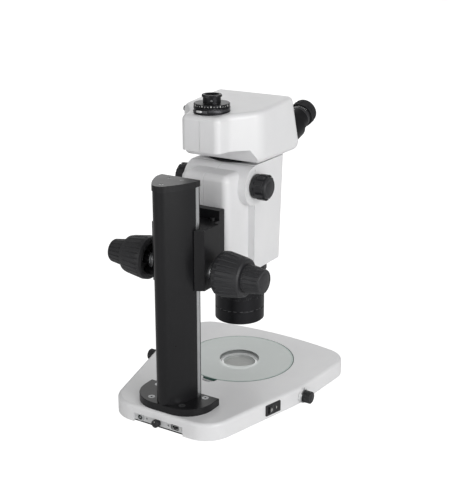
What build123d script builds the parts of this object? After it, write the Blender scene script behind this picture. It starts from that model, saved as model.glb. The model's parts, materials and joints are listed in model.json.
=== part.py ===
from build123d import *
import os
from math import cos, pi, radians, sin, tan

# Trinocular stereo zoom microscope on a pillar stand with a transmitted-light base.
# Millimetres, +Z up. The origin is the centre of the stage glass's top face, on the optical
# axis. +Y runs to the rear, where the pillar stands, and +X to the operator's right.

os.makedirs("parts", exist_ok=True)

# fits and seats
running = 0.05          # radial clearance of a shaft in its bearing
slack = 0.3             # gap between pieces of different bodies that only pass each other
loose = 0.4             # radial room round a loose insert

# base casting
base_thickness = 22.6
base_wall = 3.0
base_front_y = -104.0
base_rear_y = 190.0
base_rear_half = 74.6
knee_x = 115.3
knee_y = 36.4
front_corner_x = 124.8
front_corner_y = -87.0
front_corner_radius = 34.0
knee_radius = 200.0
rear_corner_radius = 38.0
base_top_fillet = 4.5
cover_thickness = 2.0
foot_height = 3.4
foot_radius = 11.0
cover_inset = 0.4
boss_radius = 5.0
stand_bosses = [(60, 168), (98, 6), (74, -84)]
foot_spots = [(60, 152), (92, -72)]

# stage glass and light well
glass_radius = 75.0
glass_thickness = 5.0
pan_floor = 2.5
well_radius = 24.75
notch_radius = 11.0
notch_depth = 3.2
ring_bore = 21.9
lens_thickness = 2.4

# mirror under the well, on a cross shaft with a knob at each side
mirror_y = 32.0
mirror_z = -13.2
mirror_shaft_radius = 3.0
mirror_hub_radius = 4.8
mirror_radius = 24.5
mirror_plate_half = 26.0
mirror_plate_thickness = 1.4
mirror_knob_radius = 8.0
mirror_knob_length = 10.0
mirror_pad_radius = 9.2
mirror_pad_x = 117.4
scale_thickness = 1.6

# lamp and electronics
lamp_y = 66.0
lamp_half = 28.0
board_thickness = 1.6
board_half = 42.0
board_front_y = 128.0
board_rear_y = 183.0
pad_height = 1.0
panel_left = -34.0
panel_right = 40.0
panel_thickness = 1.5
panel_cut_top = -10.3
panel_lap = 3.0
jack_x = 31.0
jack_radius = 4.6
dimmer_x = 5.0
dimmer_radius = 5.0
switch_x = -21.0
switch_travel = 2.5
lamp_hole_x = -30.0
control_z = -15.5

# rocker switch on the left wall
rocker_along = 104.0    # distance from the knee to the rocker's middle, along the wall
rocker_length = 26.0
rocker_height = 14.6
rocker_window = 19.8
rocker_window_height = 9.6
rocker_tilt = 7.0

# column
flange_thickness = 9.4
flange_half = 51.7
flange_front_y = 134.0
flange_rear_y = 186.5
flange_radius = 38.0
flange_screws = [(23.0, 174.0), (36.0, 141.5)]
pillar_front_y = 137.0
pillar_half = 27.0
pillar_side_y = 146.0
pillar_rear_half = 10.0
pillar_rear_y = 180.0
pillar_back_y = 186.0
pillar_top = 280.4
cap_thickness = 7.0
cap_overhang = 1.0
cap_screws = [(9.0, 146.5), (-9.0, 146.5), (0.0, 176.0)]
rail_front_y = 139.5
rail_width = 6.0
rail_depth = 3.0
rail_proud = 0.6

# rack and pinion
focus_module = 0.75
focus_teeth = 16
zoom_module = 0.5
zoom_teeth = 14
tooth_share = 0.39      # tooth thickness over pitch; the rest is space and backlash
pressure_angle = 20.0
rack_width = 10.0
rack_low = 24.0
rack_high = 271.0

# focus carriage
focus_z = 173.9
carriage_low = 153.0
carriage_high = 229.0
carriage_half = 38.0
carriage_front_y = 112.0
wing_lip_y = 150.5
wing_corner_y = 144.2
neck_half = 31.0
neck_front_y = 100.0
rail_gap = 0.08
hub_radius = 11.0
hub_seat_radius = 8.0
hub_out = 50.0
pinion_half = 6.0
sleeve_radius = 4.7
sleeve_half = 62.0
fine_shaft_radius = 2.5
fine_shaft_half = 106.0
coarse_inner = 50.4
coarse_outer = 87.0
coarse_radius = 28.0
coarse_flutes = 26
fine_outer = 110.8
fine_radius = 17.5
fine_flutes = 20

# bracket between carriage and zoom body
bracket_high = 241.0
bracket_low = 157.0

# zoom body
body_low = 148.0
body_top = 286.5
body_half = 44.5
body_rear_y = 38.0
body_front_top_y = -38.0
body_front_low_y = -31.0
housing_half = 35.0
housing_rear_y = 88.6
housing_low = 152.0
housing_top = 281.0
body_wall = 2.5
body_fillet = 7.0
housing_fillet = 9.0
zoom_y = 40.0
zoom_z = 261.0
zoom_boss_radius = 25.0
zoom_boss_half = body_half + 1.1
zoom_shaft_radius = 3.0
zoom_knob_inner = zoom_boss_half + 0.6
zoom_knob_outer = zoom_knob_inner + 20.8
zoom_knob_radius = 15.6

# zoom optics
channel_half = 12.0
lens_radius = 9.0
rod_radius = 2.0
rod_x = 30.0
rod_y = 6.0
upper_carrier_z = 232.0
lower_carrier_z = 188.0
carrier_thickness = 7.0
frame_low = 156.0
frame_thickness = 5.0
frame_high = 274.0

# objective
objective_radius = 33.2
objective_low = 63.0
objective_high = 132.0
objective_wall = 5.2
objective_bore = objective_radius - objective_wall
mount_radius = objective_radius + 2.8
mount_low = 134.0

# head
dovetail_radius = 41.0
head_seat_z = 290.5
head_plate_top = 309.5
head_rear_y = 96.0
head_rear_z = 352.6
head_front_z = 363.6
head_half = 57.0
head_wall = 3.0
head_tilt = 18.0        # slope of the front face and of the eyetubes
port_y = 67.5

# camera port
port_base_radius = 22.4
port_seat_z = 352.8
port_base_height = 8.6
port_disc_radius = 22.1
port_disc_height = 3.6
port_neck_radius = 11.0
port_neck_top = 372.5
port_rim_radius = 12.2
port_top = 375.7
port_bore = 9.4

# eyetubes
eye_half = 31.0         # half of the distance between the eyepieces
eye_pivot_x = 16.0
eye_pivot_rise = 14.0
eye_base_depth = 24.0
eye_plate_radius = 20.0
eye_pivot_radius = 14.0
tube_radius = 16.0
tube_length = 15.5
sleeve_bore = 11.65
ring_radius = 15.2
ring_length = 8.0
cup_radius = 17.6
cup_length = 15.5
eyepiece_radius = 11.6
eyepiece_depth = 24.0

# light path rod
rod_slide_radius = 2.5
rod_slide_y = 34.0
rod_slide_z = 347.0
rod_knob_radius = 3.6


def publish(builder, name):
    builder.part.label = name
    export_step(builder.part, f"parts/{name}.step")


def dome_point(radius, height):
    # drop of a shallow dome below its crown at half of its radius
    sphere = (radius ** 2 + height ** 2) / (2 * height)
    return sphere - (sphere ** 2 - radius ** 2 / 4) ** 0.5


def mirrored(spots):
    return [(side * x, y) for x, y in spots for side in (-1, 1)]


# ---------------------------------------------------------------- base
cavity_floor = -base_thickness + cover_thickness
glass_bottom = -glass_thickness
pan_bottom = glass_bottom - pan_floor


def base_plan(inset=0.0):
    # rounded wedge: straight rear edge, sides that open out to a knee, bowed front
    with BuildSketch() as plan:
        with BuildLine():
            Polyline(
                (-front_corner_x, front_corner_y),
                (-knee_x, knee_y),
                (-base_rear_half, base_rear_y),
                (base_rear_half, base_rear_y),
                (knee_x, knee_y),
                (front_corner_x, front_corner_y),
            )
            ThreePointArc(
                (front_corner_x, front_corner_y), (0, base_front_y), (-front_corner_x, front_corner_y)
            )
        make_face()
        fillet(plan.vertices().sort_by(Axis.Y)[-2:], rear_corner_radius)
        fillet(plan.vertices().sort_by(Axis.Y)[2:4], knee_radius)
        fillet(plan.vertices().sort_by(Axis.Y)[:2], front_corner_radius)
        if inset:
            offset(amount=-inset)
    return plan.sketch


wall_run = (knee_x - base_rear_half, base_rear_y - knee_y)
wall_length = (wall_run[0] ** 2 + wall_run[1] ** 2) ** 0.5
wall_dir = (wall_run[0] / wall_length, wall_run[1] / wall_length)
rocker_reach = rocker_along / 2
rocker_plane = Plane(
    origin=(-knee_x + wall_dir[0] * rocker_reach, knee_y + wall_dir[1] * rocker_reach, control_z + 4.6),
    x_dir=(-wall_dir[0], -wall_dir[1], 0),
    z_dir=(-wall_dir[1], wall_dir[0], 0),
)
rocker_body = 15.0
panel_y = base_rear_y - base_wall

with BuildPart() as base_housing:
    with BuildSketch(Plane.XY.offset(-base_thickness)):
        add(base_plan())
    extrude(amount=base_thickness)
    fillet(base_housing.faces().sort_by(Axis.Z)[-1].edges(), base_top_fillet)
    with BuildSketch(Plane.XY.offset(-base_thickness)):
        add(base_plan(base_wall))
    extrude(amount=base_thickness - base_wall, mode=Mode.SUBTRACT)
    with BuildSketch(Plane.XY.offset(pan_bottom)):
        Circle(glass_radius + loose + base_wall)
    extrude(amount=-pan_bottom)
    with BuildSketch(Plane.XY.offset(cavity_floor)):
        with Locations(*mirrored(stand_bosses)):
            Circle(boss_radius)
    extrude(amount=-cavity_floor - base_wall)
    for side in (-1, 1):
        with BuildSketch(Plane.YZ.offset(side * (mirror_pad_x - base_wall))):
            with Locations((mirror_y, mirror_z)):
                Circle(mirror_pad_radius)
        extrude(amount=side * base_wall)
    with BuildSketch():
        Circle(glass_radius + loose)
    extrude(amount=-glass_thickness, mode=Mode.SUBTRACT)
    with BuildSketch():
        with Locations((0, glass_radius)):
            Circle(notch_radius)
    extrude(amount=-notch_depth, mode=Mode.SUBTRACT)
    with BuildSketch():
        Circle(well_radius)
    extrude(amount=pan_bottom, mode=Mode.SUBTRACT)
    with BuildSketch(Plane.YZ.offset(-front_corner_x)):
        with Locations((mirror_y, mirror_z)):
            Circle(mirror_shaft_radius + running)
    extrude(amount=2 * front_corner_x, mode=Mode.SUBTRACT)
    with BuildSketch(Plane.XY.offset(-base_thickness)):
        with Locations(((panel_left + panel_right) / 2, base_rear_y)):
            Rectangle(panel_right - panel_left, 4 * base_wall)
    extrude(amount=base_thickness + panel_cut_top, mode=Mode.SUBTRACT)
    with BuildSketch(rocker_plane.offset(base_wall)):
        Rectangle(rocker_length - 3, rocker_height - 2.6)
    extrude(amount=-3 * base_wall, mode=Mode.SUBTRACT)
publish(base_housing, "base_housing")

with BuildPart() as base_bottom_cover:
    with BuildSketch(Plane.XY.offset(-base_thickness)):
        add(base_plan(base_wall + cover_inset))
        with Locations(*mirrored(stand_bosses)):
            Circle(1.7, mode=Mode.SUBTRACT)
    extrude(amount=cover_thickness)
    with BuildSketch(Plane.XY.offset(cavity_floor)):
        with Locations(*mirrored([(board_half - 5, board_front_y + 6), (board_half - 5, board_rear_y - 12)])):
            Circle(3)
    extrude(amount=pad_height)
publish(base_bottom_cover, "base_bottom_cover")

with BuildPart() as rubber_feet:
    with BuildSketch(Plane.XY.offset(-base_thickness)):
        with Locations(*mirrored(foot_spots)):
            Circle(foot_radius)
    extrude(amount=-foot_height)
    chamfer(rubber_feet.faces().filter_by(Axis.Z).group_by(Axis.Z)[0].edges(), 0.8)
publish(rubber_feet, "rubber_feet")

with BuildPart() as stage_glass:
    with BuildSketch(Plane.XY.offset(glass_bottom)):
        Circle(glass_radius)
    extrude(amount=glass_thickness)
    chamfer(stage_glass.faces().sort_by(Axis.Z)[-1].edges(), 0.5)
publish(stage_glass, "stage_glass")

ring_flange = 1.2
ledge = 1.2
lens_top = pan_bottom - 0.6
ring_bottom = lens_top - lens_thickness - ledge
lens_dome = 1.0

with BuildPart() as light_well_ring:
    with BuildSketch(Plane.XZ):
        with BuildLine():
            Polyline(
                (ring_bore, glass_bottom - 0.3),
                (well_radius, glass_bottom - 0.3),
                (well_radius, pan_bottom),
                (well_radius + 2.4, pan_bottom),
                (well_radius + 2.4, pan_bottom - ring_flange),
                (well_radius - 0.6, pan_bottom - ring_flange),
                (well_radius - 0.6, ring_bottom),
                (ring_bore - ledge, ring_bottom),
                (ring_bore - ledge, ring_bottom + ledge),
                (ring_bore, ring_bottom + ledge),
                close=True,
            )
        make_face()
    revolve(axis=Axis.Z)
publish(light_well_ring, "light_well_ring")

with BuildPart() as diffuser_lens:
    with BuildSketch(Plane.XZ):
        with BuildLine():
            Polyline(
                (0, lens_top),
                (0, lens_top - lens_thickness),
                (ring_bore, lens_top - lens_thickness),
                (ring_bore, lens_top - lens_dome),
            )
            ThreePointArc(
                (ring_bore, lens_top - lens_dome),
                (ring_bore / 2, lens_top - dome_point(ring_bore, lens_dome)),
                (0, lens_top),
            )
        make_face()
    revolve(axis=Axis.Z)
publish(diffuser_lens, "diffuser_lens")

# ---------------------------------------------------------------- mirror
plate_z = mirror_z - mirror_hub_radius + 0.3

with BuildPart() as mirror_shaft:
    with BuildSketch(Plane.YZ.offset(-mirror_pad_x - mirror_knob_length)):
        with Locations((mirror_y, mirror_z)):
            Circle(mirror_shaft_radius)
    extrude(amount=2 * (mirror_pad_x + mirror_knob_length))
publish(mirror_shaft, "mirror_shaft")

with BuildPart() as mirror_holder:
    with BuildSketch(Plane.YZ.offset(-mirror_plate_half)):
        with Locations((mirror_y, mirror_z)):
            Circle(mirror_hub_radius)
    extrude(amount=2 * mirror_plate_half)
    with BuildSketch(Plane.XY.offset(plate_z)):
        Rectangle(2 * mirror_plate_half, 2 * mirror_radius)
        with Locations((0, mirror_y / 2)):
            Rectangle(mirror_plate_half, mirror_y)
    extrude(amount=mirror_plate_thickness)
    with BuildSketch(Plane.YZ.offset(-mirror_plate_half)):
        with Locations((mirror_y, mirror_z)):
            Circle(mirror_shaft_radius)
    extrude(amount=2 * mirror_plate_half, mode=Mode.SUBTRACT)
publish(mirror_holder, "mirror_holder")



def fluted_knob(radius, length, flutes, flute_radius, nose, plane, cut_length):
    # turned knob with shallow round flutes along its grip and a rounded nose
    with BuildPart() as knob:
        with BuildSketch(plane):
            Circle(radius)
        extrude(amount=length)
        fillet(knob.faces().sort_by(Axis(plane.origin, plane.z_dir))[-1].edges(), nose)
        with BuildSketch(plane):
            with PolarLocations(radius + flute_radius * 0.45, flutes):
                Circle(flute_radius)
        extrude(amount=cut_length, mode=Mode.SUBTRACT)
    return knob.part


def knob_plane(side, inner, y, z):
    return Plane(origin=(side * inner, y, z), x_dir=(0, side, 0), z_dir=(side, 0, 0))


mirror_knob_seat = mirror_pad_x + scale_thickness + slack
with BuildPart() as mirror_knobs:
    for side in (-1, 1):
        seat = knob_plane(side, mirror_knob_seat, mirror_y, mirror_z)
        add(fluted_knob(mirror_knob_radius, mirror_knob_length, 18, 0.9, 1.2, seat, mirror_knob_length - 2))
    with BuildSketch(Plane.YZ.offset(-mirror_pad_x - mirror_knob_length)):
        with Locations((mirror_y, mirror_z)):
            Circle(mirror_shaft_radius)
    extrude(amount=2 * (mirror_pad_x + mirror_knob_length), mode=Mode.SUBTRACT)
publish(mirror_knobs, "mirror_knobs")

with BuildPart() as mirror_scale_ring:
    with BuildSketch(Plane.YZ.offset(-mirror_pad_x - scale_thickness)):
        with Locations((mirror_y, mirror_z)):
            Circle(mirror_pad_radius)
            Circle(mirror_shaft_radius + slack, mode=Mode.SUBTRACT)
    extrude(amount=scale_thickness)
publish(mirror_scale_ring, "mirror_scale_ring")

# ---------------------------------------------------------------- lamp and electronics
lamp_top = pan_bottom - 0.5
diode_size = 4.0
diode_height = 1.5

with BuildPart() as led_board:
    with BuildSketch(Plane.XY.offset(cavity_floor)):
        with Locations((0, lamp_y)):
            Rectangle(2 * lamp_half, board_thickness)
    extrude(amount=lamp_top - cavity_floor)
    with BuildSketch(Plane.XZ.offset(board_thickness / 2 - lamp_y)):
        with Locations((0, (cavity_floor + lamp_top) / 2)):
            with GridLocations(2.5 * diode_size, 1, 5, 1):
                Rectangle(diode_size, diode_size)
    extrude(amount=diode_height)
publish(led_board, "led_board")

board_bottom = cavity_floor + pad_height
board_top = board_bottom + board_thickness
pot_half = 8.0
pot_depth = 11.0

with BuildPart() as control_board:
    with BuildSketch(Plane.XY.offset(board_bottom)):
        with Locations((0, (board_front_y + board_rear_y) / 2)):
            Rectangle(2 * board_half, board_rear_y - board_front_y)
    extrude(amount=board_thickness)
    with BuildSketch(Plane.XY.offset(board_top)):
        with Locations((dimmer_x, board_rear_y - pot_depth / 2)):
            Rectangle(2 * pot_half, pot_depth)
        with Locations((switch_x, board_rear_y - 3)):
            Rectangle(14, 6)
        with Locations((switch_x, board_front_y + 12), (0, board_front_y + 16)):
            Rectangle(10, 10)
    extrude(amount=7.2)
    with BuildSketch(Plane.XZ.offset(-board_rear_y)):
        with Locations((dimmer_x, control_z)):
            Circle(mirror_shaft_radius + running)
    extrude(amount=pot_depth - 2, mode=Mode.SUBTRACT)
    with BuildSketch(Plane.XZ.offset(-board_rear_y)):
        with Locations((switch_x, control_z)):
            Rectangle(2 * switch_travel + 3.6, 3.6)
    extrude(amount=4, mode=Mode.SUBTRACT)
publish(control_board, "control_board")

with BuildPart() as rear_panel:
    with BuildSketch(Plane.XZ.offset(-panel_y)):
        with Locations(((panel_left + panel_right) / 2, (cavity_floor + panel_cut_top + panel_lap) / 2)):
            Rectangle(panel_right - panel_left + 2 * panel_lap, panel_cut_top + panel_lap - cavity_floor)
        with Locations((jack_x, control_z)):
            Circle(jack_radius, mode=Mode.SUBTRACT)
        with Locations((dimmer_x, control_z)):
            Circle(mirror_shaft_radius + slack, mode=Mode.SUBTRACT)
        with Locations((switch_x, control_z)):
            Rectangle(2 * switch_travel + 3.6, 3.6, mode=Mode.SUBTRACT)
        with Locations((lamp_hole_x, control_z)):
            Circle(1.2, mode=Mode.SUBTRACT)
    extrude(amount=panel_thickness)
publish(rear_panel, "rear_panel")

jack_depth = 12.0
with BuildPart() as power_jack:
    with BuildSketch(Plane.XY.offset(board_top)):
        with Locations((jack_x, panel_y - panel_thickness - jack_depth / 2)):
            Rectangle(2 * jack_radius + 2, jack_depth)
    extrude(amount=8.6)
    with BuildSketch(Plane.XZ.offset(-panel_y - 1.4)):
        with Locations((jack_x, control_z)):
            Circle(jack_radius)
    extrude(amount=panel_y + 1.4 - board_rear_y - slack)
    with BuildSketch(Plane.XZ.offset(-panel_y)):
        with Locations((jack_x, control_z)):
            Circle(jack_radius + 0.5)
    extrude(amount=-1.4)
    with BuildSketch(Plane.XZ.offset(-panel_y - 1.4)):
        with Locations((jack_x, control_z)):
            Circle(3.2)
            Circle(1.0, mode=Mode.SUBTRACT)
    extrude(amount=9, mode=Mode.SUBTRACT)
publish(power_jack, "power_jack")

dimmer_gap = 0.4
with BuildPart() as brightness_knob:
    with BuildSketch(Plane.XZ.offset(-panel_y - dimmer_gap)):
        with Locations((dimmer_x, control_z)):
            Circle(dimmer_radius)
    extrude(amount=-7)
    chamfer(brightness_knob.faces().sort_by(Axis.Y)[-1].edges(), 0.7)
    with BuildSketch(Plane.XZ.offset(-panel_y - dimmer_gap)):
        with Locations((dimmer_x, control_z)):
            Circle(mirror_shaft_radius)
    extrude(amount=panel_y + dimmer_gap - board_rear_y + pot_depth - 3)
publish(brightness_knob, "brightness_knob")

switch_size = 3.0
with BuildPart() as slide_switch_button:
    with BuildSketch(Plane.XZ.offset(-panel_y - 2.2)):
        with Locations((switch_x - switch_travel / 2, control_z)):
            Rectangle(switch_size, switch_size)
    extrude(amount=panel_y + 2.2 - board_rear_y + 3)
publish(slide_switch_button, "slide_switch_button")

with BuildPart() as rocker_bezel:
    with BuildSketch(rocker_plane):
        RectangleRounded(rocker_length, rocker_height, 1.2)
    extrude(amount=2)
    chamfer(rocker_bezel.faces().filter_by(rocker_plane).sort_by(Axis.X)[0].edges(), 0.6)
    with BuildSketch(rocker_plane):
        Rectangle(rocker_length - 3.2, rocker_height - 2.8)
    extrude(amount=-rocker_body)
    with BuildSketch(rocker_plane.offset(2)):
        Rectangle(rocker_window, rocker_window_height)
    extrude(amount=-rocker_body + 1, mode=Mode.SUBTRACT)
publish(rocker_bezel, "rocker_bezel")

rocker_half = rocker_window / 2 - 0.9
rocker_pivot = -1.0
rocker_axis = rocker_plane.origin + rocker_plane.z_dir * rocker_pivot
rocker_profile_plane = Plane(
    origin=rocker_axis - Vector(0, 0, rocker_window_height / 2 - slack),
    x_dir=(wall_dir[0], wall_dir[1], 0),
    z_dir=(0, 0, 1),
).rotated((0, 0, rocker_tilt))
with BuildPart() as rocker:
    with BuildSketch(rocker_profile_plane):
        with BuildLine():
            Polyline(
                (-rocker_half, 3.8),
                (0, 2.6),
                (rocker_half, 3.8),
                (rocker_half - 0.6, -2.4),
                (-rocker_half + 0.6, -2.4),
                close=True,
            )
        make_face()
    extrude(amount=rocker_window_height - 2 * slack)
publish(rocker, "rocker")

# ---------------------------------------------------------------- column
with BuildPart() as column_flange:
    with BuildSketch() as flange_plan:
        with Locations((0, (flange_front_y + flange_rear_y) / 2)):
            Rectangle(2 * flange_half, flange_rear_y - flange_front_y)
        fillet(flange_plan.vertices().sort_by(Axis.Y)[-2:], flange_radius)
    extrude(amount=flange_thickness)
    chamfer(column_flange.faces().sort_by(Axis.Z)[-1].edges(), 0.6)
    with Locations(*[(x, y, flange_thickness) for x, y in mirrored(flange_screws)]):
        CounterSinkHole(2.1, 4.4, counter_sink_angle=90)
publish(column_flange, "column_flange")


def pillar_plan(grow=0.0):
    # shield section: wide flat front, straight cheeks, convex sides, rounded back
    half = pillar_half + grow
    with BuildSketch() as plan:
        with BuildLine():
            front = Line((-half, pillar_front_y - grow), (half, pillar_front_y - grow))
            Line(front @ 1, (half, pillar_side_y))
            ThreePointArc(
                (half, pillar_side_y),
                ((half + pillar_rear_half) / 2 + 2.4, (pillar_side_y + pillar_rear_y) / 2),
                (pillar_rear_half + grow, pillar_rear_y),
            )
            ThreePointArc(
                (pillar_rear_half + grow, pillar_rear_y),
                (0, pillar_back_y + grow),
                (-pillar_rear_half - grow, pillar_rear_y),
            )
            ThreePointArc(
                (-pillar_rear_half - grow, pillar_rear_y),
                (-(half + pillar_rear_half) / 2 - 2.4, (pillar_side_y + pillar_rear_y) / 2),
                (-half, pillar_side_y),
            )
            Line((-half, pillar_side_y), front @ 0)
        make_face()
    return plan.sketch


rail_outer = pillar_half + rail_proud
rail_inner = rail_outer - rail_depth
rail_mid_y = rail_front_y + rail_width / 2
rail_spots = [(side * (rail_inner + rail_outer) / 2, rail_mid_y) for side in (-1, 1)]
core_radius = 12.0
with BuildPart() as pillar:
    with BuildSketch(Plane.XY.offset(flange_thickness)):
        add(pillar_plan())
    extrude(amount=pillar_top - flange_thickness)
    fillet(pillar.edges().filter_by(Axis.Z).sort_by(Axis.Y)[-2:], 3)
    with BuildSketch(Plane.XY.offset(flange_thickness)):
        with Locations((0, (pillar_front_y + pillar_rear_y) / 2)):
            Circle(core_radius)
        with Locations(*rail_spots):
            Rectangle(rail_depth, rail_width)
    extrude(amount=pillar_top - flange_thickness, mode=Mode.SUBTRACT)
publish(pillar, "pillar")

with BuildPart() as guide_rails:
    with BuildSketch(Plane.XY.offset(flange_thickness)):
        with Locations(*rail_spots):
            Rectangle(rail_depth, rail_width)
    extrude(amount=pillar_top - flange_thickness)
publish(guide_rails, "guide_rails")

with BuildPart() as pillar_cap:
    with BuildSketch(Plane.XY.offset(pillar_top)):
        add(pillar_plan(cap_overhang))
    extrude(amount=cap_thickness)
    fillet(pillar_cap.edges().filter_by(Axis.Z), 1.2)
    fillet(pillar_cap.faces().sort_by(Axis.Z)[-1].edges(), 0.5)
    with Locations(*[(x, y, pillar_top + cap_thickness) for x, y in cap_screws]):
        CounterBoreHole(1.6, 2.9, 2.2)
publish(pillar_cap, "pillar_cap")

# ---------------------------------------------------------------- rack and pinion
flank = tan(radians(pressure_angle))
tooth_root = 1.2        # root depth and tip height, in modules
tooth_tip = 0.95
focus_pitch_radius = focus_module * focus_teeth / 2
rack_back = 3.6
rack_pitch_y = pillar_front_y - rack_back
focus_y = rack_pitch_y - focus_pitch_radius


def rack_teeth(module, low, high, phase):
    # points (height, distance out from the pitch line) of straight-sided teeth; a gap lies at phase
    pitch = pi * module
    half = tooth_share * pitch / 2
    first = phase + pitch / 2 - pitch * int((phase - low - pitch) / pitch)
    points = []
    for index in range(int((high - first) / pitch)):
        middle = first + index * pitch
        points.append((middle - half - tooth_root * module * flank, -tooth_root * module))
        points.append((middle - half + tooth_tip * module * flank, tooth_tip * module))
        points.append((middle + half - tooth_tip * module * flank, tooth_tip * module))
        points.append((middle + half + tooth_root * module * flank, -tooth_root * module))
    return points


def rack_outline(module, low, high, phase, pitch_y, back_y):
    # closed outline in Y and Z; the teeth point from the back towards the pitch line
    out = 1 if pitch_y > back_y else -1
    root_y = pitch_y - out * tooth_root * module
    teeth = [(pitch_y + out * reach, z) for z, reach in rack_teeth(module, low, high, phase)]
    return [(back_y, low), (root_y, low)] + teeth + [(root_y, high), (back_y, high)]


def pinion_outline(module, teeth):
    # straight-sided teeth on a root circle; one tooth points along the first axis
    pitch_radius = module * teeth / 2
    tip_radius = pitch_radius + tooth_tip * module
    root_radius = pitch_radius - tooth_root * module
    half = tooth_share * pi * module / 2
    half_root = (half + 0.35 * module * flank) / root_radius
    half_tip = (half - tooth_tip * module * flank) / tip_radius
    points = []
    for index in range(teeth):
        middle = 2 * pi * index / teeth
        for radius, angle in (
            (root_radius, -half_root),
            (pitch_radius, -half / pitch_radius),
            (tip_radius, -half_tip),
            (tip_radius, half_tip),
            (pitch_radius, half / pitch_radius),
            (root_radius, half_root),
        ):
            points.append((radius * cos(middle + angle), radius * sin(middle + angle)))
    return points


with BuildPart() as gear_rack:
    with BuildSketch(Plane.YZ.offset(-rack_width / 2)):
        with BuildLine():
            Polyline(
                *rack_outline(focus_module, rack_low, rack_high, focus_z, rack_pitch_y, pillar_front_y),
                close=True,
            )
        make_face()
    extrude(amount=rack_width)
publish(gear_rack, "gear_rack")

with BuildPart() as pinion_shaft:
    with BuildSketch(Plane.YZ.offset(-sleeve_half)):
        with Locations((focus_y, focus_z)):
            Circle(sleeve_radius)
    extrude(amount=2 * sleeve_half)
    with BuildSketch(knob_plane(1, -pinion_half, focus_y, focus_z)):
        with BuildLine():
            Polyline(*pinion_outline(focus_module, focus_teeth), close=True)
        make_face()
    extrude(amount=2 * pinion_half)
    with BuildSketch(Plane.YZ.offset(-sleeve_half)):
        with Locations((focus_y, focus_z)):
            Circle(fine_shaft_radius + running)
    extrude(amount=2 * sleeve_half, mode=Mode.SUBTRACT)
publish(pinion_shaft, "pinion_shaft")

with BuildPart() as fine_shaft:
    with BuildSketch(Plane.YZ.offset(-fine_shaft_half)):
        with Locations((focus_y, focus_z)):
            Circle(fine_shaft_radius)
    extrude(amount=2 * fine_shaft_half)
publish(fine_shaft, "fine_shaft")


def knob_body(profile, side):
    # turned body from points (distance from the middle plane, radius) about the focus axis
    frame = Plane(origin=(0, focus_y, focus_z), x_dir=(side, 0, 0), z_dir=(0, side, 0))
    with BuildPart() as knob:
        with BuildSketch(frame):
            with BuildLine():
                Polyline(*profile, close=True)
            make_face()
        revolve(axis=Axis((0, focus_y, focus_z), (side, 0, 0)))
    return knob.part


def flutes(side, inner, outer, inner_radius, outer_radius, count, width):
    # ring of shallow grooves, drawn as slim cylinders that lean with the knob's taper
    cutters = []
    for index in range(count):
        angle = 2 * pi * index / count
        start = (side * inner, focus_y + inner_radius * cos(angle), focus_z + inner_radius * sin(angle))
        end = (side * outer, focus_y + outer_radius * cos(angle), focus_z + outer_radius * sin(angle))
        path = Vector(*end) - Vector(*start)
        cutters.append(Solid.make_cylinder(width, path.length, Plane(origin=start, z_dir=path)))
    return cutters


coarse_profile = [
    (sleeve_half, sleeve_radius),
    (sleeve_half, fine_shaft_radius + slack),
    (coarse_outer, fine_shaft_radius + slack),
    (coarse_outer, coarse_radius - 6.4),
    (coarse_outer - 1.6, coarse_radius - 4.6),
    (coarse_outer - 6, coarse_radius - 3.4),
    (coarse_inner + 8, coarse_radius),
    (coarse_inner + 2.5, coarse_radius - 0.8),
    (coarse_inner, coarse_radius - 3),
    (coarse_inner, coarse_radius - 7),
    (coarse_inner + 13, hub_radius + 3),
    (coarse_inner + 13, hub_seat_radius),
    (coarse_inner, hub_seat_radius),
    (coarse_inner, sleeve_radius),
]
coarse_groove = 1.5
with BuildPart() as coarse_knobs:
    for side in (-1, 1):
        add(knob_body(coarse_profile, side))
        add(
            flutes(
                side, coarse_inner - 2, coarse_outer + 2, coarse_radius + 1.4, coarse_radius - 3.2,
                coarse_flutes, coarse_groove,
            ),
            mode=Mode.SUBTRACT,
        )
publish(coarse_knobs, "coarse_knobs")

fine_inner = coarse_outer + 0.4
fine_profile = [
    (fine_inner, fine_shaft_radius),
    (fine_inner, fine_radius),
    (fine_inner + 4, fine_radius),
    (fine_outer - 1.2, fine_radius - 2.6),
    (fine_outer, fine_radius - 3.4),
    (fine_outer, 0),
    (fine_shaft_half, 0),
    (fine_shaft_half, fine_shaft_radius),
]
fine_groove = 1.1
with BuildPart() as fine_knobs:
    for side in (-1, 1):
        add(knob_body(fine_profile, side))
        add(
            flutes(
                side, fine_inner + 1.5, fine_outer - 2, fine_radius + 0.4, fine_radius - 2.2,
                fine_flutes, fine_groove,
            ),
            mode=Mode.SUBTRACT,
        )
publish(fine_knobs, "fine_knobs")

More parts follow.
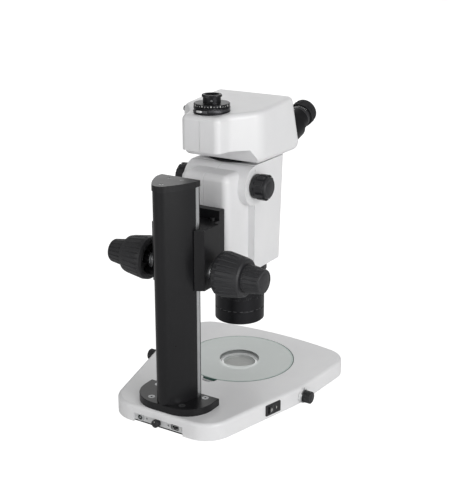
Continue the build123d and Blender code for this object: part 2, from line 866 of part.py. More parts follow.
# ---------------------------------------------------------------- focus carriage
wing_inner = rail_outer + rail_gap
lip_x = wing_inner - 1.2
rack_channel_half = rack_width / 2 + 0.8
rack_channel_y = rack_pitch_y - focus_module - 0.6
carriage_height = carriage_high - carriage_low
carriage_screws = [(-24.0, 105.0), (24.0, 105.0)]
carriage_screw_depth = 9.0
screw_radius = 1.5
with BuildPart() as focus_carriage:
    with BuildSketch(Plane.XY.offset(carriage_low)):
        for side in (-1, 1):
            with BuildLine():
                Polyline(
                    (0, carriage_front_y),
                    (side * carriage_half, carriage_front_y),
                    (side * carriage_half, wing_corner_y),
                    (side * (lip_x + 1), wing_lip_y),
                    (side * lip_x, wing_lip_y - 1),
                    (side * wing_inner, wing_lip_y - 3.4),
                    (side * wing_inner, pillar_front_y - 0.2),
                    (0, pillar_front_y - 0.2),
                    close=True,
                )
            make_face()
        with Locations((0, (neck_front_y + carriage_front_y) / 2)):
            Rectangle(2 * neck_half, carriage_front_y - neck_front_y)
    extrude(amount=carriage_height)
    chamfer(focus_carriage.faces().sort_by(Axis.Z)[-1].edges().filter_by(Axis.Y), 0.6)
    with BuildSketch(Plane.XY.offset(carriage_low)):
        with Locations((0, (rack_channel_y + pillar_front_y) / 2)):
            Rectangle(2 * rack_channel_half, pillar_front_y - rack_channel_y)
    extrude(amount=carriage_height, mode=Mode.SUBTRACT)
    with BuildSketch(Plane.YZ.offset(-carriage_half)):
        with Locations((focus_y, focus_z)):
            Circle(hub_seat_radius)
    extrude(amount=2 * carriage_half, mode=Mode.SUBTRACT)
    with BuildSketch(Plane.XY.offset(carriage_high)):
        with Locations(*carriage_screws):
            Circle(screw_radius)
    extrude(amount=-carriage_screw_depth, mode=Mode.SUBTRACT)
publish(focus_carriage, "focus_carriage")

with BuildPart() as focus_hubs:
    for side in (-1, 1):
        with BuildSketch(Plane.YZ.offset(side * (pinion_half + 1))):
            with Locations((focus_y, focus_z)):
                Circle(hub_seat_radius)
        extrude(amount=side * (carriage_half - pinion_half - 1))
        with BuildSketch(Plane.YZ.offset(side * carriage_half)):
            with Locations((focus_y, focus_z)):
                Circle(hub_radius)
        extrude(amount=side * (hub_out - carriage_half))
        with BuildSketch(Plane.YZ.offset(side * (hub_out - 4))):
            with Locations((focus_y, focus_z)):
                Circle(hub_radius + 1)
                Circle(hub_radius - 0.6, mode=Mode.SUBTRACT)
        extrude(amount=side * 1.5, mode=Mode.SUBTRACT)
    with BuildSketch(Plane.YZ.offset(-hub_out)):
        with Locations((focus_y, focus_z)):
            Circle(sleeve_radius + running)
    extrude(amount=2 * hub_out, mode=Mode.SUBTRACT)
publish(focus_hubs, "focus_hubs")

with BuildPart() as scope_bracket:
    with BuildSketch(Plane.XY.offset(bracket_low)):
        with Locations((0, (housing_rear_y + neck_front_y) / 2)):
            Rectangle(2 * neck_half, neck_front_y - housing_rear_y)
    extrude(amount=bracket_high - bracket_low)
    chamfer(scope_bracket.faces().sort_by(Axis.Z)[-1].edges().filter_by(Axis.Y), 0.8)
publish(scope_bracket, "scope_bracket")


# ---------------------------------------------------------------- zoom body casing
def main_form(inset):
    # upright box with a leaning front and rounded vertical edges
    with BuildPart() as form:
        with BuildSketch(Plane.YZ.offset(-body_half + inset)):
            with BuildLine():
                Polyline(
                    (body_rear_y - inset, body_low + inset),
                    (body_front_low_y + inset, body_low + inset),
                    (body_front_top_y + inset, body_top - inset),
                    (body_rear_y - inset, body_top - inset),
                    close=True,
                )
            make_face()
        extrude(amount=2 * (body_half - inset))
        front = form.faces().sort_by(Axis.Y)[0].edges().filter_by(Axis.X, reverse=True)
        fillet(front, body_fillet - inset)
    return form.part


def housing_form(inset):
    # rounded box behind the main one
    with BuildPart() as form:
        with BuildSketch(Plane.XY.offset(housing_low + inset)):
            with Locations((0, housing_rear_y / 2)):
                Rectangle(2 * (housing_half - inset), housing_rear_y - 2 * inset)
        extrude(amount=housing_top - housing_low - 2 * inset)
        rear_edges = form.faces().sort_by(Axis.Y)[-1].edges()
        side_edges = form.faces().sort_by(Axis.Z)[-1].edges().filter_by(Axis.Y)
        fillet(rear_edges.sort_by(Axis.Z)[1:] + side_edges, housing_fillet - inset)
    return form.part


with BuildPart() as body_casing:
    add(main_form(0))
    add(housing_form(0))
    with BuildSketch(Plane.YZ.offset(-zoom_boss_half)):
        with Locations((zoom_y, zoom_z)):
            Circle(zoom_boss_radius)
    extrude(amount=2 * zoom_boss_half)
    add(main_form(body_wall), mode=Mode.SUBTRACT)
    add(housing_form(body_wall), mode=Mode.SUBTRACT)
    with BuildSketch(Plane.YZ.offset(-zoom_boss_half)):
        with Locations((zoom_y, zoom_z)):
            Circle(zoom_shaft_radius + running)
    extrude(amount=2 * zoom_boss_half, mode=Mode.SUBTRACT)
    with BuildSketch(Plane.XY.offset(body_low)):
        Circle(objective_bore + 2)
    extrude(amount=body_top - body_low, mode=Mode.SUBTRACT)

for side, half_name in ((-1, "body_shell_left"), (1, "body_shell_right")):
    with BuildPart() as body_shell:
        add(body_casing.part)
        split(bisect_by=Plane.YZ, keep=Keep.TOP if side > 0 else Keep.BOTTOM)
        chamfer(
            body_shell.edges().filter_by(Axis.Z).group_by(Axis.Y)[-1].sort_by(Axis.X)[0 if side > 0 else -1],
            0.5,
        )
    publish(body_shell, half_name)

zoom_pitch_radius = zoom_module * zoom_teeth / 2
zoom_pinion_half = 5.0
shaft_end = zoom_knob_outer - 3
with BuildPart() as zoom_shaft:
    for side in (-1, 1):
        with BuildSketch(Plane.YZ.offset(side * shaft_end)):
            with Locations((zoom_y, zoom_z)):
                Circle(zoom_shaft_radius)
        extrude(amount=-side * (shaft_end - zoom_pinion_half - 1))
    with BuildSketch(Plane.YZ.offset(-zoom_pinion_half - 1)):
        with Locations((zoom_y, zoom_z)):
            Circle(zoom_pitch_radius - (tooth_root + 0.1) * zoom_module)
    extrude(amount=2 * zoom_pinion_half + 2)
    with BuildSketch(knob_plane(1, -zoom_pinion_half, zoom_y, zoom_z)):
        with BuildLine():
            Polyline(*pinion_outline(zoom_module, zoom_teeth), close=True)
        make_face()
    extrude(amount=2 * zoom_pinion_half)
publish(zoom_shaft, "zoom_shaft")

zoom_grip_slots = 12
zoom_grip_length = 11.0
with BuildPart() as zoom_knobs:
    for side in (-1, 1):
        frame = Plane(origin=(0, zoom_y, zoom_z), x_dir=(side, 0, 0), z_dir=(0, side, 0))
        with BuildSketch(frame):
            with BuildLine():
                Polyline(
                    (zoom_knob_inner, zoom_shaft_radius),
                    (zoom_knob_inner, zoom_knob_radius - 1),
                    (zoom_knob_inner + 1.5, zoom_knob_radius),
                    (zoom_knob_outer - 5, zoom_knob_radius - 1),
                    (zoom_knob_outer - 1, zoom_knob_radius - 2.4),
                    (zoom_knob_outer, zoom_knob_radius - 4),
                    (zoom_knob_outer, 0),
                    (shaft_end, 0),
                    (shaft_end, zoom_shaft_radius),
                    close=True,
                )
            make_face()
        revolve(axis=Axis((0, zoom_y, zoom_z), (side, 0, 0)))
        with BuildSketch(knob_plane(side, zoom_knob_inner + 4, zoom_y, zoom_z)):
            with PolarLocations(zoom_knob_radius + 0.2, zoom_grip_slots):
                Circle(1.5)
        extrude(amount=zoom_grip_length, mode=Mode.SUBTRACT)
publish(zoom_knobs, "zoom_knobs")

# ---------------------------------------------------------------- zoom optics
plate_front_y = -22.0
plate_rear_y = 30.0
bar_high = 270.0
bar_half = 4.0
bar_depth = 4.0
frame_half = body_half - body_wall
channel_spots = [(-channel_half, 0), (channel_half, 0)]
rod_spots = [(-rod_x, rod_y), (rod_x, rod_y)]

with BuildPart() as lens_frame:
    for height in (frame_low, frame_high - frame_thickness):
        with BuildSketch(Plane.XY.offset(height)):
            with Locations((0, (plate_front_y + plate_rear_y) / 2)):
                Rectangle(2 * frame_half, plate_rear_y - plate_front_y)
            with Locations(*channel_spots):
                Circle(lens_radius, mode=Mode.SUBTRACT)
        extrude(amount=frame_thickness)
    with BuildSketch(Plane.XY.offset(frame_low)):
        with Locations(*rod_spots):
            Circle(rod_radius)
    extrude(amount=frame_high - frame_low)
publish(lens_frame, "lens_frame")

lens_seat = 2.0
carriers = [("upper_lens_carrier", upper_carrier_z, -1), ("lower_lens_carrier", lower_carrier_z, 1)]
for name, height, toward in carriers:
    pitch_line = zoom_y + toward * zoom_pitch_radius
    bar_back = pitch_line + toward * (tooth_root * zoom_module + bar_depth)
    arm_end = pitch_line + toward * (tooth_root * zoom_module + bar_depth / 2)
    with BuildPart() as carrier:
        with BuildSketch(Plane.XY.offset(height)):
            RectangleRounded(2 * (rod_x + 5), 28, 5)
            with Locations((0, arm_end / 2)):
                Rectangle(2 * bar_half, arm_end)
            with Locations(*channel_spots):
                Circle(lens_radius - 1, mode=Mode.SUBTRACT)
            with Locations(*rod_spots):
                Circle(rod_radius + running, mode=Mode.SUBTRACT)
        extrude(amount=carrier_thickness)
        with BuildSketch(Plane.YZ.offset(-bar_half)):
            with BuildLine():
                Polyline(
                    *rack_outline(zoom_module, height, bar_high, zoom_z, pitch_line, bar_back), close=True
                )
            make_face()
        extrude(amount=2 * bar_half)
        with BuildSketch(Plane.XY.offset(height + carrier_thickness)):
            with Locations(*channel_spots):
                Circle(lens_radius)
        extrude(amount=-lens_seat, mode=Mode.SUBTRACT)
    publish(carrier, name)

for name, height in (("upper_zoom_lenses", upper_carrier_z), ("lower_zoom_lenses", lower_carrier_z)):
    with BuildPart() as lenses:
        with BuildSketch(Plane.XY.offset(height + carrier_thickness)):
            with Locations(*channel_spots):
                Circle(lens_radius)
        extrude(amount=-lens_seat)
    publish(lenses, name)

# ---------------------------------------------------------------- objective
mount_bore = objective_bore - 4
with BuildPart() as objective_mount:
    with BuildSketch(Plane.XZ):
        with BuildLine():
            Polyline(
                (mount_bore, objective_high),
                (mount_radius - 4, objective_high),
                (mount_radius - 4, mount_low),
                (mount_radius, mount_low),
                (mount_radius, body_low),
                (objective_bore + 2, body_low),
                (objective_bore + 2, frame_low),
                (mount_bore, frame_low),
                close=True,
            )
        make_face()
    revolve(axis=Axis.Z)
publish(objective_mount, "objective_mount")

groove_z = objective_low + 17
lens_low = objective_low + 4
lens_high = objective_low + 9
front_dome = 1.6
with BuildPart() as objective_barrel:
    with BuildSketch(Plane.XZ):
        with BuildLine():
            Polyline(
                (objective_bore, objective_low + 3),
                (objective_bore + 2.4, objective_low),
                (objective_radius - 1.2, objective_low),
                (objective_radius, objective_low + 1.2),
                (objective_radius, groove_z),
                (objective_radius - 0.8, groove_z + 0.3),
                (objective_radius - 0.8, groove_z + 1.1),
                (objective_radius, groove_z + 1.4),
                (objective_radius, objective_high - 12),
                (objective_radius - 2.6, objective_high - 9),
                (objective_radius - 2.6, objective_high),
                (objective_bore - 2, objective_high),
                (objective_bore - 2, lens_high),
                (objective_bore, lens_high),
                close=True,
            )
        make_face()
    revolve(axis=Axis.Z)
publish(objective_barrel, "objective_barrel")

with BuildPart() as objective_lens:
    with BuildSketch(Plane.XZ):
        with BuildLine():
            Polyline(
                (0, lens_low),
                (0, lens_high),
                (objective_bore, lens_high),
                (objective_bore, lens_low + front_dome),
            )
            ThreePointArc(
                (objective_bore, lens_low + front_dome),
                (objective_bore / 2, lens_low + dome_point(objective_bore, front_dome)),
                (0, lens_low),
            )
        make_face()
    revolve(axis=Axis.Z)
publish(objective_lens, "objective_lens")

# ---------------------------------------------------------------- head
with BuildPart() as dovetail_ring:
    with BuildSketch(Plane.XZ):
        with BuildLine():
            Polyline(
                (objective_bore, body_top),
                (dovetail_radius, body_top),
                (dovetail_radius, body_top + 1.6),
                (dovetail_radius - 2.2, head_seat_z),
                (objective_bore, head_seat_z),
                close=True,
            )
        make_face()
    revolve(axis=Axis.Z)
publish(dovetail_ring, "dovetail_ring")

tilt_sin = sin(radians(head_tilt))
tilt_cos = cos(radians(head_tilt))
front_y = -56.0
front_z = 318.0
neck_step_y = 44.0
head_neck_y = 76.0
head_neck_half = 30.0
head_shoulder_y = 45.0
head_rear_half = 27.0
head_front_round = 14.0
head_floor_round = 9.0
head_roof_round = 7.0


def front_at(height, inset=0.0):
    # Y of the sloping front face at a height
    return front_y + (height - front_z) * tilt_sin / tilt_cos + inset / tilt_cos


def head_form(inset=0.0):
    # bottle-shaped plan with a narrow rear, cut by a sloping front and a gently rising top
    low = head_seat_z + inset
    step = head_plate_top + inset
    high = head_front_z - inset
    with BuildPart() as form:
        with BuildSketch(Plane.XY.offset(head_seat_z)) as plan:
            with BuildLine():
                Polyline(
                    (-head_rear_half, head_rear_y),
                    (head_rear_half, head_rear_y),
                    (head_neck_half, head_neck_y),
                    (head_half, head_shoulder_y),
                    (head_half, front_at(head_seat_z)),
                    (-head_half, front_at(head_seat_z)),
                    (-head_half, head_shoulder_y),
                    (-head_neck_half, head_neck_y),
                    close=True,
                )
            make_face()
            fillet(plan.vertices().group_by(Axis.Y)[-1], 8)
            fillet([v for v in plan.vertices() if abs(v.Y - head_neck_y) < 0.5], 16)
            fillet([v for v in plan.vertices() if abs(v.Y - head_shoulder_y) < 0.5], 26)
            if inset:
                offset(amount=-inset)
        extrude(amount=high + 10 - head_seat_z)
        with BuildSketch(Plane.YZ.offset(-head_half)):
            with BuildLine():
                Polyline(
                    (head_rear_y, step),
                    (head_rear_y, head_rear_z - inset),
                    (front_at(high, inset), high),
                    (front_at(low, inset), low),
                    (neck_step_y - inset, low),
                    (neck_step_y + 12 - inset, step),
                    close=True,
                )
            make_face()
        extrude(amount=2 * head_half, mode=Mode.INTERSECT)
        front = form.faces().sort_by(Axis.Y)[0]
        fillet(front.edges(), head_front_round - inset)
    return form.part


with BuildPart() as head_case:
    add(head_form())
    roof = head_case.faces().sort_by(Axis.Z)[-1]
    fillet(roof.edges(), head_roof_round)
    floor = head_case.faces().filter_by(Axis.Z).sort_by(Axis.Z)[0]
    fillet(floor.edges(), head_floor_round)
    add(head_form(head_wall), mode=Mode.SUBTRACT)

lock_boss_x = (42.5, 46.5)
lock_screw_z = 288.7
lock_screw_radius = 1.4
with BuildPart() as head_base_plate:
    add(head_case.part)
    split(bisect_by=Plane.XY.offset(head_plate_top), keep=Keep.BOTTOM)
    with BuildSketch(Plane.XY.offset(head_seat_z - 3.4)):
        with Locations(((lock_boss_x[0] + lock_boss_x[1]) / 2, 0)):
            Rectangle(lock_boss_x[1] - lock_boss_x[0], 8)
    extrude(amount=3.4)
    with BuildSketch(Plane.YZ.offset(lock_boss_x[0])):
        with Locations((0, lock_screw_z)):
            Circle(lock_screw_radius)
    extrude(amount=lock_boss_x[1] - lock_boss_x[0], mode=Mode.SUBTRACT)
    with BuildSketch(Plane.XY.offset(head_seat_z)):
        with Locations(*channel_spots):
            Circle(lens_radius + 1)
    extrude(amount=head_wall, mode=Mode.SUBTRACT)
publish(head_base_plate, "head_base_plate")

# eyetube frame: a points out of the head along the tube, V up along the sloping front
eye_foot_z = 309.1
eye_foot_y = front_at(eye_foot_z)


def eye_plane(side, out=0.0):
    origin = (side * eye_half, eye_foot_y - out * tilt_cos, eye_foot_z + out * tilt_sin)
    return Plane(origin=origin, x_dir=(1, 0, 0), z_dir=(0, -tilt_cos, tilt_sin))


pivot_radius = 9.0
pivot_reach = 7.0
port_spigot_radius = port_bore + 1.5
seat_recess = port_base_radius + slack
seat_wall = 1.4
with BuildPart() as head_shell:
    add(head_case.part)
    split(bisect_by=Plane.XY.offset(head_plate_top), keep=Keep.TOP)
    with BuildSketch(Plane.XY.offset(port_seat_z - 10)):
        with Locations((0, port_y)):
            Circle(seat_recess + seat_wall)
    extrude(amount=10)
    with BuildSketch(Plane.XY.offset(port_seat_z)):
        with Locations((0, port_y)):
            Circle(seat_recess)
    extrude(amount=port_base_height, mode=Mode.SUBTRACT)
    with BuildSketch(Plane.XY.offset(port_seat_z)):
        with Locations((0, port_y)):
            Circle(port_spigot_radius)
    extrude(amount=-20, mode=Mode.SUBTRACT)
    for side in (-1, 1):
        with BuildSketch(eye_plane(side, 5)):
            with Locations((side * (eye_pivot_x - eye_half), eye_pivot_rise)):
                Circle(pivot_radius + running)
        extrude(amount=-15, mode=Mode.SUBTRACT)
    with BuildSketch(Plane.YZ.offset(head_half + 5)):
        with Locations((rod_slide_y, rod_slide_z)):
            Circle(rod_slide_radius + running)
    extrude(amount=-15, mode=Mode.SUBTRACT)
    with BuildSketch(Plane.XY.offset(head_plate_top)):
        with Locations((0, head_rear_y)):
            Rectangle(0.7, 1.2)
    extrude(amount=head_rear_z - head_plate_top + 10, mode=Mode.SUBTRACT)
publish(head_shell, "head_shell")

prism_size = 24.0
with BuildPart() as head_prisms:
    with BuildSketch(Plane.XY.offset(head_seat_z + head_wall)):
        with Locations((-prism_size / 2 - 2, 0), (prism_size / 2 + 2, 0)):
            Rectangle(prism_size, prism_size)
    extrude(amount=prism_size)
publish(head_prisms, "head_prisms")

# ---------------------------------------------------------------- camera port
lever_low = 356.6
lever_high = 359.0
lever_inner = port_base_radius - 2.4
port_base_top = port_seat_z + port_base_height
with BuildPart() as port_base_ring:
    with BuildSketch(Plane.XY.offset(port_seat_z)):
        with Locations((0, port_y)):
            Circle(port_base_radius)
            Circle(port_spigot_radius, mode=Mode.SUBTRACT)
    extrude(amount=port_base_height)
    chamfer(port_base_ring.faces().sort_by(Axis.Z)[-1].edges().sort_by(SortBy.LENGTH)[-1], 0.6)
    with BuildSketch(Plane.XY.offset(lever_low - running - 0.15)):
        with Locations((0, port_y)):
            Circle(port_base_radius + 1)
            Circle(lever_inner - running, mode=Mode.SUBTRACT)
    extrude(amount=lever_high - lever_low + 2 * running + 0.3, mode=Mode.SUBTRACT)
publish(port_base_ring, "port_base_ring")

lever_arm_radius = port_base_radius + 3.2
lever_arm_from = 60
lever_arm_sweep = 50
lever_tip = [(0, 0)]
for step in range(6):
    angle = radians(lever_arm_from + lever_arm_sweep * step / 5)
    lever_tip.append((lever_arm_radius * cos(angle), lever_arm_radius * sin(angle)))
with BuildPart() as port_lever:
    with BuildSketch(Plane(origin=(0, port_y, lever_low))):
        with BuildLine():
            Polyline(*lever_tip, close=True)
        make_face()
        Circle(port_disc_radius)
        Circle(lever_inner, mode=Mode.SUBTRACT)
    extrude(amount=lever_high - lever_low)
publish(port_lever, "port_lever")

port_disc_low = port_base_top + 0.4
port_spigot_low = 354.0
with BuildPart() as port_adapter:
    with BuildSketch(Plane.XZ.offset(-port_y)):
        with BuildLine():
            Polyline(
                (port_bore, port_spigot_low),
                (port_spigot_radius - running, port_spigot_low),
                (port_spigot_radius - running, port_disc_low),
                (port_disc_radius - 0.4, port_disc_low),
                (port_disc_radius, port_disc_low + 0.4),
                (port_disc_radius, port_disc_low + port_disc_height - 0.5),
                (port_disc_radius - 0.5, port_disc_low + port_disc_height),
                (port_neck_radius, port_disc_low + port_disc_height),
                (port_neck_radius, port_neck_top),
                (port_rim_radius, port_neck_top + 0.4),
                (port_rim_radius, port_top - 0.5),
                (port_rim_radius - 0.5, port_top),
                (port_bore, port_top),
                close=True,
            )
        make_face()
    revolve(axis=Axis((0, port_y, 0), (0, 0, 1)))
publish(port_adapter, "port_adapter")

# ---------------------------------------------------------------- eyetubes and eyepieces
tube_end = eye_base_depth + tube_length
base_chamfer = 1.2
eyepiece_body_radius = 13.2
eyepiece_body_length = 20.0
eyepiece_gap = 0.3
lens_window = 9.0
ring_from = 0.6
cup_from = 9.0
for side, side_name in ((-1, "left"), (1, "right")):
    pivot_spot = (side * (eye_pivot_x - eye_half), eye_pivot_rise)
    with BuildPart() as eyetube:
        with BuildSketch(eye_plane(side, slack)):
            Circle(eye_plate_radius)
            with Locations(pivot_spot):
                Circle(eye_pivot_radius)
            make_hull()
        extrude(amount=eye_base_depth - slack)
        outer = eyetube.faces().sort_by(Axis((0, 0, 0), (0, -tilt_cos, tilt_sin)))[-1]
        chamfer(outer.edges(), base_chamfer)
        with BuildSketch(eye_plane(side, slack)):
            with Locations(pivot_spot):
                Circle(pivot_radius)
        extrude(amount=-pivot_reach)
        with BuildSketch(eye_plane(side, eye_base_depth)):
            Circle(tube_radius)
        extrude(amount=tube_length)
        with BuildSketch(eye_plane(side, tube_end)):
            Circle(sleeve_bore)
        extrude(amount=-eyepiece_depth - 2, mode=Mode.SUBTRACT)
    publish(eyetube, f"eyetube_{side_name}")

    with BuildPart() as eyepiece:
        with BuildSketch(eye_plane(side, tube_end - eyepiece_depth)):
            Circle(eyepiece_radius)
        extrude(amount=eyepiece_depth + eyepiece_gap)
        with BuildSketch(eye_plane(side, tube_end + eyepiece_gap)):
            Circle(eyepiece_body_radius)
        extrude(amount=eyepiece_body_length)
        with BuildSketch(eye_plane(side, tube_end - eyepiece_depth)):
            Circle(lens_window)
        extrude(amount=eyepiece_depth - 2, mode=Mode.SUBTRACT)
        with BuildSketch(eye_plane(side, tube_end + eyepiece_gap + eyepiece_body_length)):
            Circle(lens_window + 1.5)
        extrude(amount=-1.5, mode=Mode.SUBTRACT)
    publish(eyepiece, f"eyepiece_{side_name}")

    with BuildPart() as diopter_ring:
        with BuildSketch(eye_plane(side, tube_end + ring_from)):
            Circle(ring_radius)
            Circle(eyepiece_body_radius + running, mode=Mode.SUBTRACT)
        extrude(amount=ring_length)
    publish(diopter_ring, f"diopter_ring_{side_name}")

    with BuildPart() as eyecup:
        with BuildSketch(eye_plane(side, tube_end + cup_from)):
            Circle(cup_radius - 0.6)
        extrude(amount=cup_length, taper=2)
        lip = eyecup.faces().sort_by(Axis((0, 0, 0), (0, -tilt_cos, tilt_sin)))[-1]
        fillet(lip.edges(), 1.6)
        with BuildSketch(eye_plane(side, tube_end + cup_from)):
            Circle(eyepiece_body_radius)
        extrude(amount=cup_length, mode=Mode.SUBTRACT)
    publish(eyecup, f"eyecup_{side_name}")

# ---------------------------------------------------------------- light path rod
rod_block_x = (30.0, 40.0)
rod_block_half = 4.0
rod_knob_x = (head_half + 0.4, head_half + 6.0)
with BuildPart() as light_path_rod:
    with BuildSketch(Plane.YZ.offset(rod_block_x[1])):
        with Locations((rod_slide_y, rod_slide_z)):
            Circle(rod_slide_radius)
    extrude(amount=rod_knob_x[1] - rod_block_x[1])
    with BuildSketch(Plane.YZ.offset(rod_block_x[0])):
        with Locations((rod_slide_y, rod_slide_z)):
            Rectangle(2 * rod_block_half, 2 * rod_block_half)
    extrude(amount=rod_block_x[1] - rod_block_x[0])
    with BuildSketch(Plane.YZ.offset(rod_knob_x[0])):
        with Locations((rod_slide_y, rod_slide_z)):
            Circle(rod_knob_radius)
    extrude(amount=rod_knob_x[1] - rod_knob_x[0])
    chamfer(light_path_rod.faces().sort_by(Axis.X)[-1].edges(), 0.5)
publish(light_path_rod, "light_path_rod")

# ---------------------------------------------------------------- screws
sink_radius = 4.4
sink_shank = 2.1
sink_depth = sink_radius - sink_shank
cap_head_radius = 2.8
cap_head_low = pillar_top + cap_thickness - 2.2
pan_head = 1.6
with BuildPart() as stand_screws:
    for x, y in mirrored(flange_screws):
        with BuildSketch(Plane(origin=(x, y, flange_thickness))):
            Circle(sink_radius)
        extrude(amount=-sink_depth, taper=45)
        with BuildSketch(Plane(origin=(x, y, flange_thickness - sink_depth))):
            Circle(sink_shank - 0.1)
        extrude(amount=sink_depth - flange_thickness)
        with BuildSketch(Plane(origin=(x, y, flange_thickness))):
            RegularPolygon(1.5, 6)
        extrude(amount=-1.6, mode=Mode.SUBTRACT)
    for x, y in cap_screws:
        with BuildSketch(Plane(origin=(x, y, cap_head_low))):
            Circle(cap_head_radius)
        extrude(amount=2)
        with BuildSketch(Plane(origin=(x, y, cap_head_low + 2))):
            RegularPolygon(1.3, 6)
        extrude(amount=-1.3, mode=Mode.SUBTRACT)
        with BuildSketch(Plane(origin=(x, y, pillar_top))):
            Circle(screw_radius)
        extrude(amount=cap_head_low - pillar_top)
    for x, y in mirrored(stand_bosses):
        with BuildSketch(Plane(origin=(x, y, -base_thickness - pan_head))):
            Circle(3)
        extrude(amount=pan_head)
        with BuildSketch(Plane(origin=(x, y, -base_thickness))):
            Circle(1.7)
        extrude(amount=cover_thickness)
publish(stand_screws, "stand_screws")

with BuildPart() as scope_screws:
    for x, y in carriage_screws:
        with BuildSketch(Plane(origin=(x, y, carriage_high - carriage_screw_depth))):
            Circle(screw_radius)
        extrude(amount=carriage_screw_depth)
        with BuildSketch(Plane(origin=(x, y, carriage_high))):
            Circle(3)
            RegularPolygon(1.4, 6, mode=Mode.SUBTRACT)
        extrude(amount=4)
        with BuildSketch(Plane(origin=(x, y, carriage_high))):
            RegularPolygon(1.6, 6)
        extrude(amount=1.5)
    with BuildSketch(Plane.YZ.offset(dovetail_radius + 0.2)):
        with Locations((0, lock_screw_z)):
            Circle(lock_screw_radius)
    extrude(amount=6.5)
publish(scope_screws, "scope_screws")
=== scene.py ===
import json
import math
import bmesh
import bpy
import numpy as np
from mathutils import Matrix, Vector


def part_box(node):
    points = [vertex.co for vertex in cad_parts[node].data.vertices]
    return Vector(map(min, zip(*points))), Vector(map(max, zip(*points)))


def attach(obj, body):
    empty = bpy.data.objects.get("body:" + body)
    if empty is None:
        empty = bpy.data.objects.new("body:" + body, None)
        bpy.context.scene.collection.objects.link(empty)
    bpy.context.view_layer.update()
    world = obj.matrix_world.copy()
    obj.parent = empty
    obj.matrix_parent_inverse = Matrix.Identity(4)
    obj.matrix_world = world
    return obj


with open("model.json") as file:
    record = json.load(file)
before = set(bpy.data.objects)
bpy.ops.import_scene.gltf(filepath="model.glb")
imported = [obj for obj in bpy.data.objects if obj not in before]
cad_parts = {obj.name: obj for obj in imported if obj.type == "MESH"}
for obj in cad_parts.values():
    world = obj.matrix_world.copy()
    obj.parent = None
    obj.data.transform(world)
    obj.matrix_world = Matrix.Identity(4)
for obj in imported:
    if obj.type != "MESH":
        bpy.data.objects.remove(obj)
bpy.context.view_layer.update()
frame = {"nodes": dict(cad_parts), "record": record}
joints = {joint["name"]: joint for joint in frame["record"]["behaviour"]["joints"]}
print("frame loaded:", len(frame["nodes"]), "nodes")

mm = 0.001
up = np.array([0.0, 0.0, 1.0])
rearward = np.array([0.0, 1.0, 0.0])
rightward = np.array([1.0, 0.0, 0.0])


# shader wiring
class Wire:
    # one output socket; arithmetic on wires adds Math nodes to its material
    def __init__(self, finish, socket):
        self.finish = finish
        self.socket = socket

    def maths(self, operation, first, second):
        return self.finish.node("ShaderNodeMath", {"operation": operation}, {0: first, 1: second})

    def __add__(self, other):
        return self.maths("ADD", self, other)

    def __radd__(self, other):
        return self.maths("ADD", other, self)

    def __sub__(self, other):
        return self.maths("SUBTRACT", self, other)

    def __rsub__(self, other):
        return self.maths("SUBTRACT", other, self)

    def __mul__(self, other):
        return self.maths("MULTIPLY", self, other)

    def __rmul__(self, other):
        return self.maths("MULTIPLY", other, self)

    def __gt__(self, other):
        return self.maths("GREATER_THAN", self, other)

    def __lt__(self, other):
        return self.maths("LESS_THAN", self, other)


class Finish:
    # a material with one Principled shader, and the few helpers its recipe needs
    def __init__(self, name, **fixed):
        self.material = bpy.data.materials.new(name)
        self.material.use_nodes = True
        self.tree = self.material.node_tree
        self.shader = self.tree.nodes["Principled BSDF"]
        for socketName, value in fixed.items():
            self.shader.inputs[socketName.replace("_", " ")].default_value = value
        self.place = self.node("ShaderNodeTexCoord", {}, {}, "Object")

    def node(self, kind, settings, values, output=0):
        made = self.tree.nodes.new(kind)
        for setting, value in settings.items():
            if setting == "stops":
                for index, (spot, shade) in enumerate(value):
                    ready = made.color_ramp.elements
                    stop = ready[index] if index < 2 else ready.new(spot)
                    stop.position = spot
                    stop.color = (shade, shade, shade, 1) if isinstance(shade, float) else (*shade, 1)
            else:
                setattr(made, setting, value)
        for socket, value in values.items():
            self.feed(made.inputs[socket], value)
        return Wire(self, made.outputs[output])

    def feed(self, socket, value):
        if isinstance(value, Wire):
            self.tree.links.new(value.socket, socket)
        else:
            socket.default_value = value

    def stretched(self, along):
        # object coordinates scaled per axis, for streaks
        return self.node("ShaderNodeMapping", {}, {"Vector": self.place, "Scale": along})

    def noise(self, scale, detail=2.0, where=None, rough=0.55):
        values = {"Vector": where or self.place, "Scale": scale, "Detail": detail, "Roughness": rough}
        return self.node("ShaderNodeTexNoise", {}, values, "Fac")

    def ramp(self, factor, *stops):
        return self.node("ShaderNodeValToRGB", {"stops": stops}, {"Fac": factor}, "Color")

    def mix(self, factor, first, second):
        ends = {0: factor, 6: (*first, 1) if isinstance(first, tuple) else first}
        ends[7] = (*second, 1) if isinstance(second, tuple) else second
        return self.node("ShaderNodeMix", {"data_type": "RGBA"}, ends, 2)

    def bump(self, height, depth, strength=1.0, below=None):
        values = {"Height": height, "Distance": depth, "Strength": strength}
        if below is not None:
            values["Normal"] = below
        return self.node("ShaderNodeBump", {}, values, "Normal")

    def edges(self, width):
        # 0 on open faces, rising to 1 where a bevel of this width would turn the surface
        soft = self.node("ShaderNodeBevel", {"samples": 4}, {"Radius": width}, "Normal")
        hard = self.node("ShaderNodeNewGeometry", {}, {}, "Normal")
        match = self.node("ShaderNodeVectorMath", {"operation": "DOT_PRODUCT"}, {0: soft, 1: hard}, "Value")
        return self.ramp(1 - match, (0.02, 0.0), (0.16, 1.0))

    def axisValue(self, axis):
        return self.node("ShaderNodeSeparateXYZ", {}, {0: self.place}, axis)

    def set(self, **sockets):
        for socketName, value in sockets.items():
            self.feed(self.shader.inputs[socketName.replace("_", " ")], value)
        return self.material


# finishes
enamel = {"colour": (0.80, 0.80, 0.805), "shade": (0.765, 0.765, 0.775), "roughness": 0.30, "peel": 0.00005,
          "seam": 0.00018}


